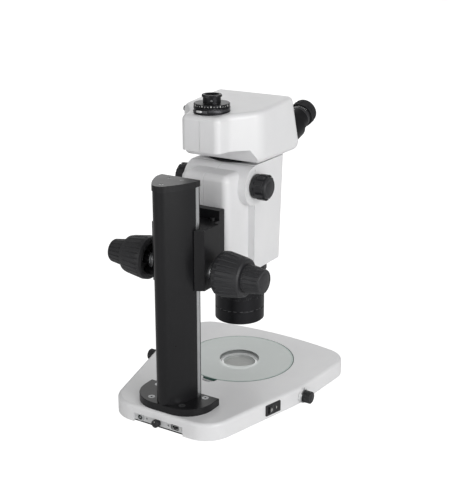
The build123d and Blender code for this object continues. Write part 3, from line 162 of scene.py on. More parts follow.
def whiteEnamel(name="whiteEnamel", seam=False):
    # smooth baked paint: faint orange peel, slightly uneven gloss, soft handling marks, and
    # where seam is asked for, a grey parting line at x = 0
    paint = Finish(name, Coat_Weight=0.15, Coat_Roughness=0.15)
    cloud = paint.noise(14, 3)
    colour = paint.mix(paint.ramp(cloud, (0.35, 0.0), (0.75, 1.0)), enamel["colour"], enamel["shade"])
    rubbed = paint.ramp(paint.noise(46, 4, paint.stretched((1, 1, 0.35))), (0.58, 0.0), (0.74, 1.0))
    colour = paint.mix(rubbed * 0.10, colour, (0.70, 0.69, 0.67))
    gloss = enamel["roughness"] + 0.09 * cloud + 0.10 * rubbed
    peel = paint.noise(850, 2)
    if seam:
        across = paint.axisValue("X")
        joint = (across > -enamel["seam"]) * (across < enamel["seam"])
        colour = paint.mix(joint * 0.5, colour, (0.28, 0.28, 0.29))
        peel = peel - 6 * joint
    normal = paint.bump(peel, enamel["peel"], 0.5)
    return paint.set(Base_Color=colour, Roughness=gloss, Normal=normal)


satin = {"colour": (0.009, 0.009, 0.010), "worn": (0.10, 0.10, 0.105), "roughness": 0.24}


def satinBlack(name, colour=satin["colour"], roughness=satin["roughness"], grain=2600):
    # black powder coat with fine tooth, rubbed a little bright along its edges
    coat = Finish(name, Specular_IOR_Level=0.26)
    tooth = coat.noise(grain, 2)
    cloud = coat.noise(22, 3)
    worn = coat.edges(0.0007) * coat.ramp(coat.noise(160, 4), (0.46, 0.0), (0.66, 1.0))
    shade = coat.mix(cloud * 0.35, colour, tuple(c * 1.6 for c in colour))
    return coat.set(
        Base_Color=coat.mix(worn * 0.6, shade, satin["worn"]),
        Roughness=roughness + 0.12 * cloud - 0.1 * worn,
        Normal=coat.bump(tooth, 0.00004, 0.5),
    )


def anodised(name, colour, lathe, roughness=0.34):
    # anodised aluminium, bright at worn rims; lathe scales its fine turning lines on each axis
    skin = Finish(name, Metallic=0.85)
    lines = skin.noise(1.0, 1, skin.stretched(lathe))
    worn = skin.edges(0.0005) * skin.ramp(skin.noise(210, 3), (0.45, 0.0), (0.62, 1.0))
    shade = skin.mix(skin.noise(30, 2) * 0.4, colour, tuple(min(1, c * 1.6) for c in colour))
    return skin.set(
        Base_Color=skin.mix(worn * 0.7, shade, (0.45, 0.45, 0.46)),
        Roughness=roughness + 0.14 * lines,
        Normal=skin.bump(lines, 0.00002, 0.6),
    )


def brightMetal(name, colour, streaks, roughness=0.20, dirt=0.3):
    # ground steel: streaks along the cut, oily smudges that dull it
    steel = Finish(name, Metallic=1.0)
    cut = steel.noise(1.0, 2, steel.stretched(streaks))
    smudge = steel.ramp(steel.noise(60, 4), (0.5, 0.0), (0.75, 1.0))
    return steel.set(
        Base_Color=steel.mix(smudge * dirt, colour, tuple(c * 0.62 for c in colour)),
        Roughness=roughness + 0.18 * cut + 0.15 * smudge,
        Normal=steel.bump(cut, 0.00002, 0.6),
    )


def sparkedPlastic(name, colour, roughness=0.46, grain=1900, wear=(0.14, 0.14, 0.145)):
    # moulded plastic with a spark-eroded grain, polished by fingers on its high edges
    resin = Finish(name, Specular_IOR_Level=0.45)
    cells = {"Vector": resin.place, "Scale": grain}
    pits = resin.node("ShaderNodeTexVoronoi", {"feature": "SMOOTH_F1"}, cells)
    cloud = resin.noise(35, 3)
    worn = resin.edges(0.0008) * resin.ramp(resin.noise(120, 3), (0.4, 0.0), (0.65, 1.0))
    shade = resin.mix(cloud * 0.4, colour, tuple(c * 1.5 for c in colour))
    return resin.set(
        Base_Color=resin.mix(worn * 0.5, shade, wear),
        Roughness=roughness + 0.14 * cloud - 0.14 * worn,
        Normal=resin.bump(pits, 0.00005, 0.6),
    )


def softRubber(name, colour=(0.022, 0.022, 0.024)):
    # matt rubber with a bloom of dust in its grain
    gum = Finish(name, Specular_IOR_Level=0.3)
    grain = gum.noise(2200, 3)
    bloom = gum.ramp(gum.noise(90, 4), (0.45, 0.0), (0.8, 1.0))
    return gum.set(
        Base_Color=gum.mix(bloom * 0.3, colour, (0.10, 0.10, 0.10)),
        Roughness=0.66 + 0.16 * bloom,
        Normal=gum.bump(grain, 0.00006, 0.7),
    )


# widths, from the plate's rim, of the two bands that carry painted shade
plateRimShade = {"ground": 0.0011, "bevelled": 0.0032}


def stagePlate(name):
    # plate glass in a white pan: pale green, and clear over the light well; its ground rim and the bevel
    # band inside it are darkened with painted shade, standing for the shade at the plate's edge and in the
    # gap round it
    plate = Finish(name, IOR=1.5, Coat_Weight=0.6, Coat_Roughness=0.02)
    across, along = plate.axisValue("X"), plate.axisValue("Y")
    spread = plate.node("ShaderNodeMath", {"operation": "SQRT"}, {0: across * across + along * along})
    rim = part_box("stage_glass")[1][0]
    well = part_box("light_well_ring")[1][0]
    # painted shade: the outer rim band and the bevel band inside it mark where the plate's edge and the gap
    # round it fall in shade
    rimShade = spread > rim - plateRimShade["ground"]
    bevelShade = (spread > rim - plateRimShade["bevelled"]) * (spread < rim - plateRimShade["ground"])
    overWell = spread < well
    marks = plate.ramp(plate.noise(60, 5, rough=0.7), (0.55, 0.0), (0.75, 1.0))
    tint = plate.mix(plate.noise(7, 1), (0.80, 0.86, 0.835), (0.76, 0.83, 0.80))
    # painted shade: a darker green over the bevel band and a near-black green over the outer rim
    tint = plate.mix(bevelShade * 0.6, tint, (0.50, 0.66, 0.60))
    tint = plate.mix(rimShade, tint, (0.05, 0.13, 0.105))
    return plate.set(
        Base_Color=tint,
        Roughness=0.05 + 0.08 * marks,
        Alpha=0.72 + 0.2 * rimShade + 0.04 * marks - 0.62 * overWell,
        Normal=plate.bump(plate.noise(30, 1), 0.00001, 0.2),
    )


def clearGlass(name, colour, coating=0.0):
    # clear glass with faint fingermarks in its gloss
    pane = Finish(name, Transmission_Weight=1.0, IOR=1.5, Coat_Weight=coating)
    marks = pane.ramp(pane.noise(70, 5, rough=0.7), (0.56, 0.0), (0.74, 1.0))
    tint = pane.mix(pane.noise(9, 1), colour, tuple(c * 0.97 for c in colour))
    return pane.set(
        Base_Color=tint,
        Roughness=0.015 + 0.05 * marks,
        Normal=pane.bump(pane.noise(40, 1), 0.00001, 0.2),
    )


def milkyDisc(name):
    # frosted diffusing plastic with faint irregular dots
    disc = Finish(name)
    dots = disc.node("ShaderNodeTexVoronoi", {"feature": "F1"}, {"Vector": disc.place, "Scale": 700.0})
    return disc.set(
        Base_Color=disc.mix(dots, (0.52, 0.52, 0.50), (0.40, 0.40, 0.39)),
        Roughness=0.34 + 0.2 * disc.noise(80, 2),
        Normal=disc.bump(dots, 0.00005, 0.4),
    )


def laminateBoard(name):
    # green solder mask over copper runs
    board = Finish(name)
    runs = board.node("ShaderNodeTexBrick", {"offset": 0.3}, {"Vector": board.place, "Scale": 160.0}, "Fac")
    return board.set(
        Base_Color=board.mix(runs, (0.02, 0.16, 0.07), (0.05, 0.27, 0.12)),
        Roughness=0.3 + 0.2 * board.noise(60, 2),
        Normal=board.bump(runs, 0.00004, 0.5),
    )


def ink(name, colour, roughness=0.5):
    # pad-printed marks, a little uneven in cover
    film = Finish(name)
    cover = film.noise(900, 3)
    return film.set(
        Base_Color=film.mix(cover * 0.3, colour, tuple(c * 0.75 for c in colour)),
        Roughness=roughness + 0.15 * cover,
        Normal=film.bump(cover, 0.00001, 0.4),
    )


steelGrey = (0.60, 0.61, 0.62)
finishes = {
    "enamel": whiteEnamel(),
    "shellEnamel": whiteEnamel("shellEnamel", seam=True),
    "sheetBlack": satinBlack("sheetBlack", roughness=0.5, grain=1500),
    "columnBlack": satinBlack("columnBlack"),
    "castBlack": satinBlack("castBlack", roughness=0.30, grain=1900),
    "capBlack": satinBlack("capBlack", (0.012, 0.012, 0.013), 0.28, 1800),
    "footRubber": softRubber("footRubber"),
    "cupRubber": softRubber("cupRubber", (0.016, 0.016, 0.018)),
    "plateGlass": stagePlate("plateGlass"),
    "lensGlass": clearGlass("lensGlass", (0.93, 0.96, 1.0), 0.4),
    "wellRing": brightMetal("wellRing", (0.82, 0.83, 0.83), (40, 40, 2600), 0.30, 0.15),
    "diffuser": milkyDisc("diffuser"),
    "mirrorPlate": brightMetal("mirrorPlate", (0.86, 0.87, 0.88), (200, 200, 200), 0.05, 0.15),
    "groundSteel": brightMetal("groundSteel", steelGrey, (1800, 1800, 25), 0.24),
    "turnedSteel": brightMetal("turnedSteel", (0.68, 0.69, 0.70), (2200, 60, 60), 0.18),
    "screwSteel": brightMetal("screwSteel", (0.30, 0.305, 0.31), (1500, 1500, 1500), 0.26),
    "ovenGrey": sparkedPlastic("ovenGrey", (0.56, 0.565, 0.57), 0.4, 1500, (0.7, 0.7, 0.7)),
    "smallKnob": sparkedPlastic("smallKnob", (0.016, 0.016, 0.018), 0.40),
    "focusKnob": sparkedPlastic("focusKnob", (0.017, 0.017, 0.019), 0.42, 1600, (0.15, 0.15, 0.155)),
    "zoomKnob": sparkedPlastic("zoomKnob", (0.014, 0.014, 0.016), 0.34),
    "barrelBlack": anodised("barrelBlack", (0.020, 0.020, 0.022), (60, 60, 2600)),
    "tubeBlack": anodised("tubeBlack", (0.017, 0.017, 0.019), (60, 900, 2300), 0.38),
    "paleAlloy": anodised("paleAlloy", (0.74, 0.745, 0.75), (1600, 300, 1600), 0.24),
    "smokedAlloy": anodised("smokedAlloy", (0.07, 0.07, 0.075), (1600, 300, 1600), 0.24),
    "board": laminateBoard("board"),
    "whiteInk": ink("whiteInk", (0.82, 0.82, 0.80)),
    "darkInk": ink("darkInk", (0.03, 0.03, 0.032)),
    "greyInk": ink("greyInk", (0.11, 0.11, 0.115)),
}
wornBy = {
    "enamel": ["base_housing", "head_shell", "head_base_plate"],
    "shellEnamel": ["body_shell_left", "body_shell_right"],
    "sheetBlack": ["base_bottom_cover"],
    "columnBlack": ["pillar", "column_flange"],
    "castBlack": ["focus_carriage", "scope_bracket", "scope_screws"],
    "capBlack": ["pillar_cap"],
    "footRubber": ["rubber_feet"],
    "cupRubber": ["eyecup_left", "eyecup_right"],
    "plateGlass": ["stage_glass"],
    "lensGlass": ["objective_lens", "upper_zoom_lenses", "lower_zoom_lenses", "head_prisms"],
    "wellRing": ["light_well_ring"],
    "diffuser": ["diffuser_lens"],
    "mirrorPlate": ["mirror_holder"],
    "groundSteel": ["guide_rails", "gear_rack"],
    "turnedSteel": ["focus_hubs", "pinion_shaft", "fine_shaft", "zoom_shaft", "mirror_shaft", "power_jack",
                    "mirror_scale_ring"],
    "screwSteel": ["stand_screws"],
    "ovenGrey": ["rear_panel"],
    "smallKnob": ["mirror_knobs", "brightness_knob", "slide_switch_button", "rocker_bezel", "rocker",
                  "light_path_rod"],
    "focusKnob": ["coarse_knobs", "fine_knobs"],
    "zoomKnob": ["zoom_knobs"],
    "barrelBlack": ["objective_barrel", "objective_mount", "lens_frame", "upper_lens_carrier",
                    "lower_lens_carrier", "port_base_ring", "port_adapter", "dovetail_ring"],
    "tubeBlack": ["eyetube_left", "eyetube_right", "eyepiece_left", "eyepiece_right"],
    "smokedAlloy": ["port_lever", "diopter_ring_left", "diopter_ring_right"],
    "board": ["led_board", "control_board"],
}
for finishName, nodeNames in wornBy.items():
    for nodeName in nodeNames:
        surface = frame["nodes"][nodeName].data
        surface.materials.clear()
        surface.materials.append(finishes[finishName])
print("finishes on the CAD nodes:", sum(len(names) for names in wornBy.values()))


# surfaces
def gridFaces(rows, columns, offset=0):
    # quads of a grid whose columns close on themselves
    row, column = np.meshgrid(np.arange(rows - 1), np.arange(columns), indexing="ij")
    after = (column + 1) % columns
    near, far = row * columns, (row + 1) * columns
    corners = [near + column, near + after, far + after, far + column]
    return np.stack(corners, axis=-1).reshape(-1, 4) + offset


def piece(name, body, finish, shapes, crease=40):
    # joins the shapes' points and faces in one mesh, closes its seams and turns its faces outwards
    points = np.concatenate([shape[0] for shape in shapes])
    starts = np.cumsum([0] + [len(shape[0]) for shape in shapes[:-1]])
    faces = np.concatenate([shape[1] + start for shape, start in zip(shapes, starts)])
    mesh = bpy.data.meshes.new(name)
    mesh.from_pydata(points.tolist(), [], faces.tolist())
    work = bmesh.new()
    work.from_mesh(mesh)
    bmesh.ops.remove_doubles(work, verts=work.verts, dist=1e-6)
    bmesh.ops.recalc_face_normals(work, faces=work.faces)
    work.to_mesh(mesh)
    work.free()
    mesh.polygons.foreach_set("use_smooth", np.ones(len(mesh.polygons), dtype=bool))
    mesh.set_sharp_from_angle(angle=math.radians(crease))
    mesh.materials.append(finishes[finish])
    made = bpy.data.objects.new(name, mesh)
    bpy.context.scene.collection.objects.link(made)
    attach(made, body)


def squareTo(axis, hint):
    # two unit vectors square to the axis, the first as near the hint as it can be
    axis = np.asarray(axis, float)
    first = np.asarray(hint, float) - axis * np.dot(hint, axis)
    first = first / np.linalg.norm(first)
    return first, np.cross(axis, first)


def turned(profile, centre, axis, steps=48):
    # solid of revolution: centre + height*axis + radius*(cos v*side + sin v*other)
    radius, height = np.array(profile, float).T * mm
    axis = np.asarray(axis, float)
    side, other = squareTo(axis, up if abs(axis[2]) < 0.9 else rightward)
    turn = np.linspace(0, 2 * np.pi, steps, endpoint=False)
    ring = np.cos(turn)[:, None] * side + np.sin(turn)[:, None] * other
    points = np.asarray(centre) + height[:, None, None] * axis + radius[:, None, None] * ring
    return points.reshape(-1, 3), gridFaces(len(radius), steps)


def pads(centres, first, second, third, size, roundness=0.3, rows=6, columns=12):
    # rounded pads, one superellipsoid per centre: half sizes times signed powers of
    # (cos u*cos v, cos u*sin v, sin u) along that pad's own three directions
    u = np.linspace(-np.pi / 2, np.pi / 2, rows)[:, None]
    v = np.linspace(0, 2 * np.pi, columns, endpoint=False)[None, :] + np.pi / columns

    def power(value):
        return np.sign(value) * np.abs(value) ** roundness

    local = np.stack([
        power(np.cos(u)) * power(np.cos(v)) * size[0] * mm,
        power(np.cos(u)) * power(np.sin(v)) * size[1] * mm,
        power(np.sin(u)) * np.ones_like(v) * size[2] * mm,
    ], axis=-1).reshape(-1, 3)
    basis = np.stack([np.broadcast_to(d, centres.shape) for d in (first, second, third)], axis=1)
    points = centres[:, None, :] + np.einsum("pk,nkd->npd", local, basis)
    shift = np.arange(len(centres))[:, None, None] * (rows * columns)
    return points.reshape(-1, 3), (gridFaces(rows, columns)[None] + shift).reshape(-1, 4)


def around(centre, axis, radius, angles, hint=up, height=0.0):
    # spots on a circle with their outward and sideways directions; angle 0 is at the hint
    side, other = squareTo(axis, hint)
    turn = np.radians(np.asarray(angles, float))[:, None]
    outward = np.cos(turn) * side + np.sin(turn) * other
    sideways = np.cos(turn) * other - np.sin(turn) * side
    spots = np.asarray(centre) + np.asarray(axis, float) * height * mm + outward * radius * mm
    return spots, outward, sideways


def marks(centre, axis, radius, angles, size, hint=up, height=0.0):
    # raised marks round a cylinder: size is (outward, sideways, along the axis)
    spots, outward, sideways = around(centre, axis, radius, angles, hint, height)
    return pads(spots, outward, sideways, np.asarray(axis, float), size)


# eyepieces
eyes = {
    "lensRadius": 10.2, "lensFloor": 14.2, "lensDome": 1.6,
    "cupPads": 16, "cupPadRadius": 16.75, "cupPadHeight": 12.0, "cupPadSize": (0.55, 1.9, 4.4),
    "ringRadius": 15.2, "ringTicks": 11, "ringTickStep": 9, "tickHeight": 1.8, "longTickHeight": 1.4,
    "ribs": 60, "ribHeight": -2.8,
    "tubeBandRadius": 16.0, "tubeBandHeight": -9.6,
}
for side in ("left", "right"):
    joint = joints[f"{side}_diopter_turn"]
    spot = np.mean(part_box(f"diopter_ring_{side}"), axis=0)
    axis = np.array(joint["axis"])
    lens = eyes["lensRadius"]
    # the dome is a quarter ellipse: (lens*cos(b*pi/2), lensDome*sin(b*pi/2)), b from 0 to 1
    bulge = np.linspace(0, 1, 9)
    dome = [(lens * math.cos(b * math.pi / 2), eyes["lensDome"] * math.sin(b * math.pi / 2)) for b in bulge]
    lensCentre = spot + axis * eyes["lensFloor"] * mm
    piece(f"eye_lens_{side}", f"{side}_eyetube", "lensGlass", [
        turned([(0, 0), (lens, 0)] + [(r, 0.2 + h) for r, h in dome[:-1]] + [(0, 0.2 + eyes["lensDome"])],
               lensCentre, axis)])
    turns = np.arange(eyes["cupPads"]) * 360 / eyes["cupPads"]
    piece(f"eyecup_grip_{side}", f"{side}_eyetube", "cupRubber", [
        marks(spot, axis, eyes["cupPadRadius"], turns, eyes["cupPadSize"], height=eyes["cupPadHeight"])])
    middle = (eyes["ringTicks"] - 1) / 2
    tickTurns = (np.arange(eyes["ringTicks"]) - middle) * eyes["ringTickStep"]
    long = np.abs(tickTurns) < 1
    piece(f"diopter_ticks_{side}", f"{side}_diopter", "whiteInk", [
        marks(spot, axis, eyes["ringRadius"], tickTurns[~long], (0.06, 0.16, 1.3),
              height=eyes["tickHeight"]),
        marks(spot, axis, eyes["ringRadius"], tickTurns[long], (0.06, 0.22, 2.2),
              height=eyes["longTickHeight"])])
    ribTurns = np.arange(eyes["ribs"]) * 360 / eyes["ribs"]
    piece(f"diopter_ribs_{side}", f"{side}_diopter", "smokedAlloy", [
        marks(spot, axis, eyes["ringRadius"], ribTurns, (0.14, 0.42, 0.9), height=eyes["ribHeight"])])
    dot, outward, sideways = around(spot, axis, eyes["tubeBandRadius"], [0], height=eyes["tubeBandHeight"])
    piece(f"eyetube_index_{side}", f"{side}_eyetube", "whiteInk", [
        pads(dot, outward, sideways, axis, (0.08, 0.7, 0.7), 1.0)])
print("eyepiece details made")

# camera port
port = {"discRadius": 22.1, "discTicks": 36, "longTickDrop": 12.1, "tickDrop": 12.6, "rimRadius": 12.2,
        "rimRibs": 60, "ribDrop": 1.75, "neckRadius": 11.0, "screwDrop": 6.8, "screwTurns": [30, 150, 270],
        "bore": 9.4, "threadDepth": 0.35, "threadStep": 1.5, "threads": 4,
        "leverRadius": 24.6, "leverTurn": -5}
portSpot = np.array([0.0, joints["camera_adapter_turn"]["pos_m"][1], 0.0])
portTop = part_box("port_adapter")[1][2] / mm
tickTurns = np.arange(port["discTicks"]) * 360 / port["discTicks"]
longTick = np.arange(port["discTicks"]) % 3 == 0
piece("port_scale_marks", "camera_adapter", "whiteInk", [
    marks(portSpot, up, port["discRadius"], tickTurns[longTick], (0.07, 0.40, 1.15), rearward,
          portTop - port["longTickDrop"]),
    marks(portSpot, up, port["discRadius"], tickTurns[~longTick], (0.07, 0.24, 0.65), rearward,
          portTop - port["tickDrop"])])
piece("port_rim_knurl", "camera_adapter", "barrelBlack", [
    marks(portSpot, up, port["rimRadius"], np.arange(port["rimRibs"]) * 360 / port["rimRibs"],
          (0.16, 0.32, 1.05), rearward, portTop - port["ribDrop"])])
crest = port["bore"] - port["threadDepth"]
thread = [(port["bore"], -3.0), (crest, -3.3), (crest, -3.7), (port["bore"], -4.0), (port["bore"], -3.0)]
portMouth = portSpot + up * portTop * mm
threadRings = [turned([(r, h - port["threadStep"] * index) for r, h in thread], portMouth, up)
               for index in range(port["threads"])]
piece("port_bore_rings", "camera_adapter", "barrelBlack", threadRings)
screwSpot = portSpot + up * (portTop - port["screwDrop"]) * mm
piece("port_lock_screws", "camera_adapter", "screwSteel", [
    turned([(0, -0.4), (1.4, -0.4), (1.4, 0.25), (1.15, 0.5), (0.7, 0.5), (0.55, 0.1), (0, 0.1)],
           screwSpot + outward * port["neckRadius"] * mm, outward, 20)
    for outward in around(portSpot, up, 1, port["screwTurns"], rearward)[1]])
leverSpot = portSpot + up * np.mean(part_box("port_lever"), axis=0)[2]
leverTips, outward, sideways = around(leverSpot, up, port["leverRadius"], [port["leverTurn"]], rearward)
piece("port_lever_tip", "port_shutter", "paleAlloy", [
    pads(leverTips, outward, sideways, up, (1.7, 4.2, 1.35), 0.45, 8, 20)])
print("camera port details made")

# objective
barrel = {"radius": 33.2, "grooveRise": 17.7, "dashes": 26, "ribs": 90, "ribRise": 40.0}
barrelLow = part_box("objective_barrel")[0][2] / mm
origin = np.zeros(3)
piece("objective_dashes", "scope", "greyInk", [
    marks(origin, up, barrel["radius"] - 0.75, (np.arange(barrel["dashes"]) + 0.5) * 360 / barrel["dashes"],
          (0.12, 2.0, 0.3), rearward, barrelLow + barrel["grooveRise"])])
piece("objective_knurl", "scope", "barrelBlack", [
    marks(origin, up, barrel["radius"], np.arange(barrel["ribs"]) * 360 / barrel["ribs"],
          (0.22, 0.62, 6.5), rearward, barrelLow + barrel["ribRise"])])
retainer = [(27.9, 3.2), (27.9, 2.2), (25.6, 1.4), (25.0, 2.0), (25.0, 3.2), (27.9, 3.2)]
piece("objective_retainer", "scope", "barrelBlack", [
    turned(retainer, origin + up * barrelLow * mm, up, 96)])
print("objective details made")

# zoom knobs
zoom = {"radius": 15.6, "face": 67.0, "collar": 47.5, "ticks": 21, "tickStep": 11,
        "boss": 45.6, "bossMark": 19.6, "grips": 12, "gripDrop": 8.6}
zoomSpot = np.array(joints["zoom_turn"]["pos_m"])
zoomTicks = []
for side in (-1, 1):
    spread = (np.arange(zoom["ticks"]) - (zoom["ticks"] - 1) / 2) * zoom["tickStep"]
    long = np.arange(zoom["ticks"]) % 5 == 0
    for chosen, halfLength in ((long, 0.95), (~long, 0.55)):
        zoomTicks.append(marks(zoomSpot, rightward * side, zoom["radius"] - 0.32, spread[chosen],
                               (0.07, 0.2, halfLength), up, zoom["collar"] + halfLength - 0.3))
piece("zoom_scale_marks", "zoom_drive", "whiteInk", zoomTicks)
gripTurns = np.arange(zoom["grips"]) * 360 / zoom["grips"]
gripPads = [marks(zoomSpot, rightward * side, zoom["radius"] - 0.1, gripTurns, (0.75, 3.1, 5.6), up,
                  zoom["face"] - zoom["gripDrop"]) for side in (-1, 1)]
piece("zoom_grip_pads", "zoom_drive", "zoomKnob", gripPads)
capDiscs = [turned([(0, 0), (8.2, 0), (8.2, 0.25), (7.6, 0.55), (0, 0.7)],
                   zoomSpot + rightward * side * zoom["face"] * mm, rightward * side, 64)
            for side in (-1, 1)]
piece("zoom_knob_caps", "zoom_drive", "smallKnob", capDiscs)
indexDots = []
for side in (-1, 1):
    dot, outward, sideways = around(zoomSpot, rightward * side, zoom["bossMark"], [0], up, zoom["boss"])
    indexDots.append(pads(dot, outward, sideways, rightward * side, (1.5, 0.35, 0.08), 0.6))
piece("zoom_index_marks", "scope", "darkInk", indexDots)
print("zoom knob details made")

# focus knobs
focus = {"fineFace": 110.8, "tickRadius": 17.5, "ticks": 50, "ringInner": 88.6}
focusSpot = np.array(joints["coarse_focus_turn"]["pos_m"])
fineParts = []
scaleParts = []
for side in (-1, 1):
    outside = rightward * side
    fineParts.append(turned([(0, 0), (10.4, 0), (10.4, 0.18), (9.7, 0.5), (3.0, 0.6), (0, 0.62)],
                            focusSpot + outside * focus["fineFace"] * mm, outside, 64))
    turns = np.arange(focus["ticks"]) * 360 / focus["ticks"]
    long = np.arange(focus["ticks"]) % 5 == 0
    for chosen, halfLength in ((long, 1.1), (~long, 0.65)):
        scaleParts.append(marks(focusSpot, outside, focus["tickRadius"], turns[chosen],
                                (0.06, 0.13, halfLength), up, focus["ringInner"] + halfLength - 0.6))
piece("fine_knob_caps", "fine_focus", "smallKnob", fineParts)
piece("fine_scale_marks", "fine_focus", "greyInk", scaleParts)
print("focus knob details made")

# mirror knobs
mirrorSpot = np.array(joints["mirror_tilt"]["pos_m"])
scaleFace = -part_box("mirror_scale_ring")[0][0] / mm
tilt = {"scaleRadius": 9.2, "faceRadius": 8.65, "ticks": 24}
tiltTurns = np.arange(tilt["ticks"]) * 360 / tilt["ticks"]
piece("mirror_scale_marks", "stand", "darkInk", [
    marks(mirrorSpot, -rightward, tilt["scaleRadius"], tiltTurns, (0.06, 0.14, 0.5), up, scaleFace - 0.8),
    marks(mirrorSpot, -rightward, tilt["faceRadius"], tiltTurns, (0.35, 0.12, 0.05), up, scaleFace)])
pinFoot = mirrorSpot + np.array([-(scaleFace - 0.8), 0, tilt["scaleRadius"] - 0.3]) * mm
piece("mirror_pointer", "stand", "screwSteel", [
    turned([(0, 0), (1.0, 0), (1.0, 1.5), (0.55, 2.1), (0.55, 3.0), (0.3, 3.3), (0, 3.3)], pinFoot, up, 24)])
knobFaces = [turned([(0, 0), (4.6, 0), (4.6, 0.15), (4.2, 0.35), (0, 0.4)],
                    mirrorSpot + np.array([side * (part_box("mirror_knobs")[1][0] / mm), 0, 0]) * mm,
                    rightward * side, 40) for side in (-1, 1)]
piece("mirror_knob_caps", "mirror", "smallKnob", knobFaces)
print("mirror details made")

# rocker switch marks
switch = {"heading": 14.84, "tilt": 7.0, "lobe": 5.0, "face": 3.36, "ringRadius": 1.5, "ringHalf": 0.28,
          "lobeSlope": 7.6}
rockerPin = np.array(joints["power_rocker_press"]["pos_m"])
faceTurn = math.radians(switch["tilt"] - switch["heading"])
wallLine = np.array([-math.sin(faceTurn), math.cos(faceTurn), 0.0])
wallOut = np.array([-math.cos(faceTurn), -math.sin(faceTurn), 0.0])
slope = math.radians(switch["lobeSlope"])
switchMarks = []
for lobe in (-1, 1):
    normal = wallOut * math.cos(slope) - wallLine * lobe * math.sin(slope)
    spot = rockerPin + (wallLine * lobe * switch["lobe"] + wallOut * switch["face"]) * mm
    if lobe > 0:
        ring = switch["ringRadius"]
        inner, outer = ring - switch["ringHalf"], ring + switch["ringHalf"]
        loop = [(inner, -0.1), (outer, -0.1), (outer, 0.1), (inner, 0.1), (inner, -0.1)]
        switchMarks.append(turned(loop, spot, normal, 32))
    else:
        along = np.cross(normal, up)
        switchMarks.append(pads(spot[None], along, up, normal, (0.3, 1.7, 0.1)))
piece("rocker_marks", "power_rocker", "whiteInk", switchMarks)
print("rocker marks made")

# rear panel
panel = {"lamp": -30.0, "jack": 31.0, "slot": -21.0, "height": -15.5, "screws": (-11.5, 21.5),
         "dial": 5.0, "dots": 7, "dotStep": 38, "dotRadius": 5.9, "dotMargin": 3.5}
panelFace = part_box("rear_panel")[1][1]
panelSpot = np.array([0.0, panelFace, panel["height"] * mm])
piece("panel_lamp", "stand", "whiteInk", [
    turned([(0, -1.2), (1.15, -1.2), (1.15, 0.3), (0.8, 0.75), (0.4, 0.95), (0, 1.0)],
           panelSpot + rightward * panel["lamp"] * mm, rearward, 24)])
piece("jack_pin", "stand", "turnedSteel", [
    turned([(0, -7.5), (0.95, -7.5), (0.95, 0.4), (0.6, 0.9), (0, 1.0)],
           panelSpot + rightward * panel["jack"] * mm, rearward, 24)])
bars = []
for length, offset, lying in ((4.9, 2.9, True), (4.9, -2.9, True), (2.9, 5.2, False), (2.9, -5.2, False)):
    shiftBy = np.array([0 if lying else offset, 0.1, offset if lying else 0]) * mm
    spot = (panelSpot + rightward * panel["slot"] * mm + shiftBy)[None]
    lengthways, across = (rightward, up) if lying else (up, rightward)
    bars.append(pads(spot, lengthways, rearward, across, (length, 0.35, 0.45)))
piece("switch_frame", "stand", "smallKnob", bars)
dialTurns = (np.arange(panel["dots"]) - (panel["dots"] - 1) / 2) * panel["dotStep"]
sizes = 0.16 + 0.05 * np.arange(panel["dots"])
dialDots = []
for turn, size in zip(dialTurns, sizes):
    spots, outward, sideways = around(panelSpot + rightward * panel["dial"] * mm, rearward,
                                      panel["dotRadius"], [turn], up)
    if spots[0][2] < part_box("rear_panel")[1][2] - panel["dotMargin"] * mm:
        dialDots.append(pads(spots, outward, sideways, rearward, (size + 0.1, size, 0.06), 1.0))
piece("dial_dots", "stand", "darkInk", dialDots)
panelScrews = [turned([(0, -0.2), (1.3, -0.2), (1.3, 0.2), (0.9, 0.65), (0.35, 0.7), (0.3, 0.4), (0, 0.4)],
                      panelSpot + rightward * x * mm, rearward, 24) for x in panel["screws"]]
piece("panel_screws", "stand", "screwSteel", panelScrews)
dialPointer = np.array([[panel["dial"], 0, panel["height"] + 3.2]]) * mm
dialPointer[0][1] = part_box("brightness_knob")[1][1]
piece("dial_pointer", "brightness_dial", "whiteInk", [
    pads(dialPointer, rightward, up, rearward, (0.3, 1.1, 0.08), 0.5)])
print("rear panel details made")

# underside and column
under = {"plate": (0.0, -40.0), "plateSize": (30.0, 18.0, 0.35),
         "slots": 9, "slotStep": 6.0, "slotLine": 60.0}
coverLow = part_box("base_bottom_cover")[0][2] / mm
platePlace = np.array([[under["plate"][0], under["plate"][1], coverLow - 0.1]]) * mm
piece("rating_plate", "stand", "wellRing", [
    pads(platePlace, rightward, rearward, up, under["plateSize"], 0.12, 8, 40)])
slotX = (np.arange(under["slots"]) - (under["slots"] - 1) / 2) * under["slotStep"]
slotPlaces = np.array([(x, under["slotLine"], coverLow) for x in slotX]) * mm
piece("cover_vents", "stand", "darkInk", [
    pads(slotPlaces, rightward, rearward, up, (1.2, 11.0, 0.12), 0.5)])
rackLow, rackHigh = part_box("gear_rack")
stopPlace = np.array([[0.0, rackLow[1] / mm + 1.6, rackHigh[2] / mm + 2.2]]) * mm
piece("rack_top_stop", "stand", "screwSteel", [
    pads(stopPlace, rightward, rearward, up, (5.6, 1.7, 1.7), 0.35, 8, 16)])
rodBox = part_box("light_path_rod")
rodCentre = np.mean(rodBox, axis=0)
rodCentre[0] = rodBox[1][0]
piece("rod_knob_ribs", "path_rod", "smallKnob", [
    marks(rodCentre, rightward, 3.6, np.arange(24) * 15.0, (0.12, 0.2, 1.9), up, -2.9)])
print("underside and column details made")

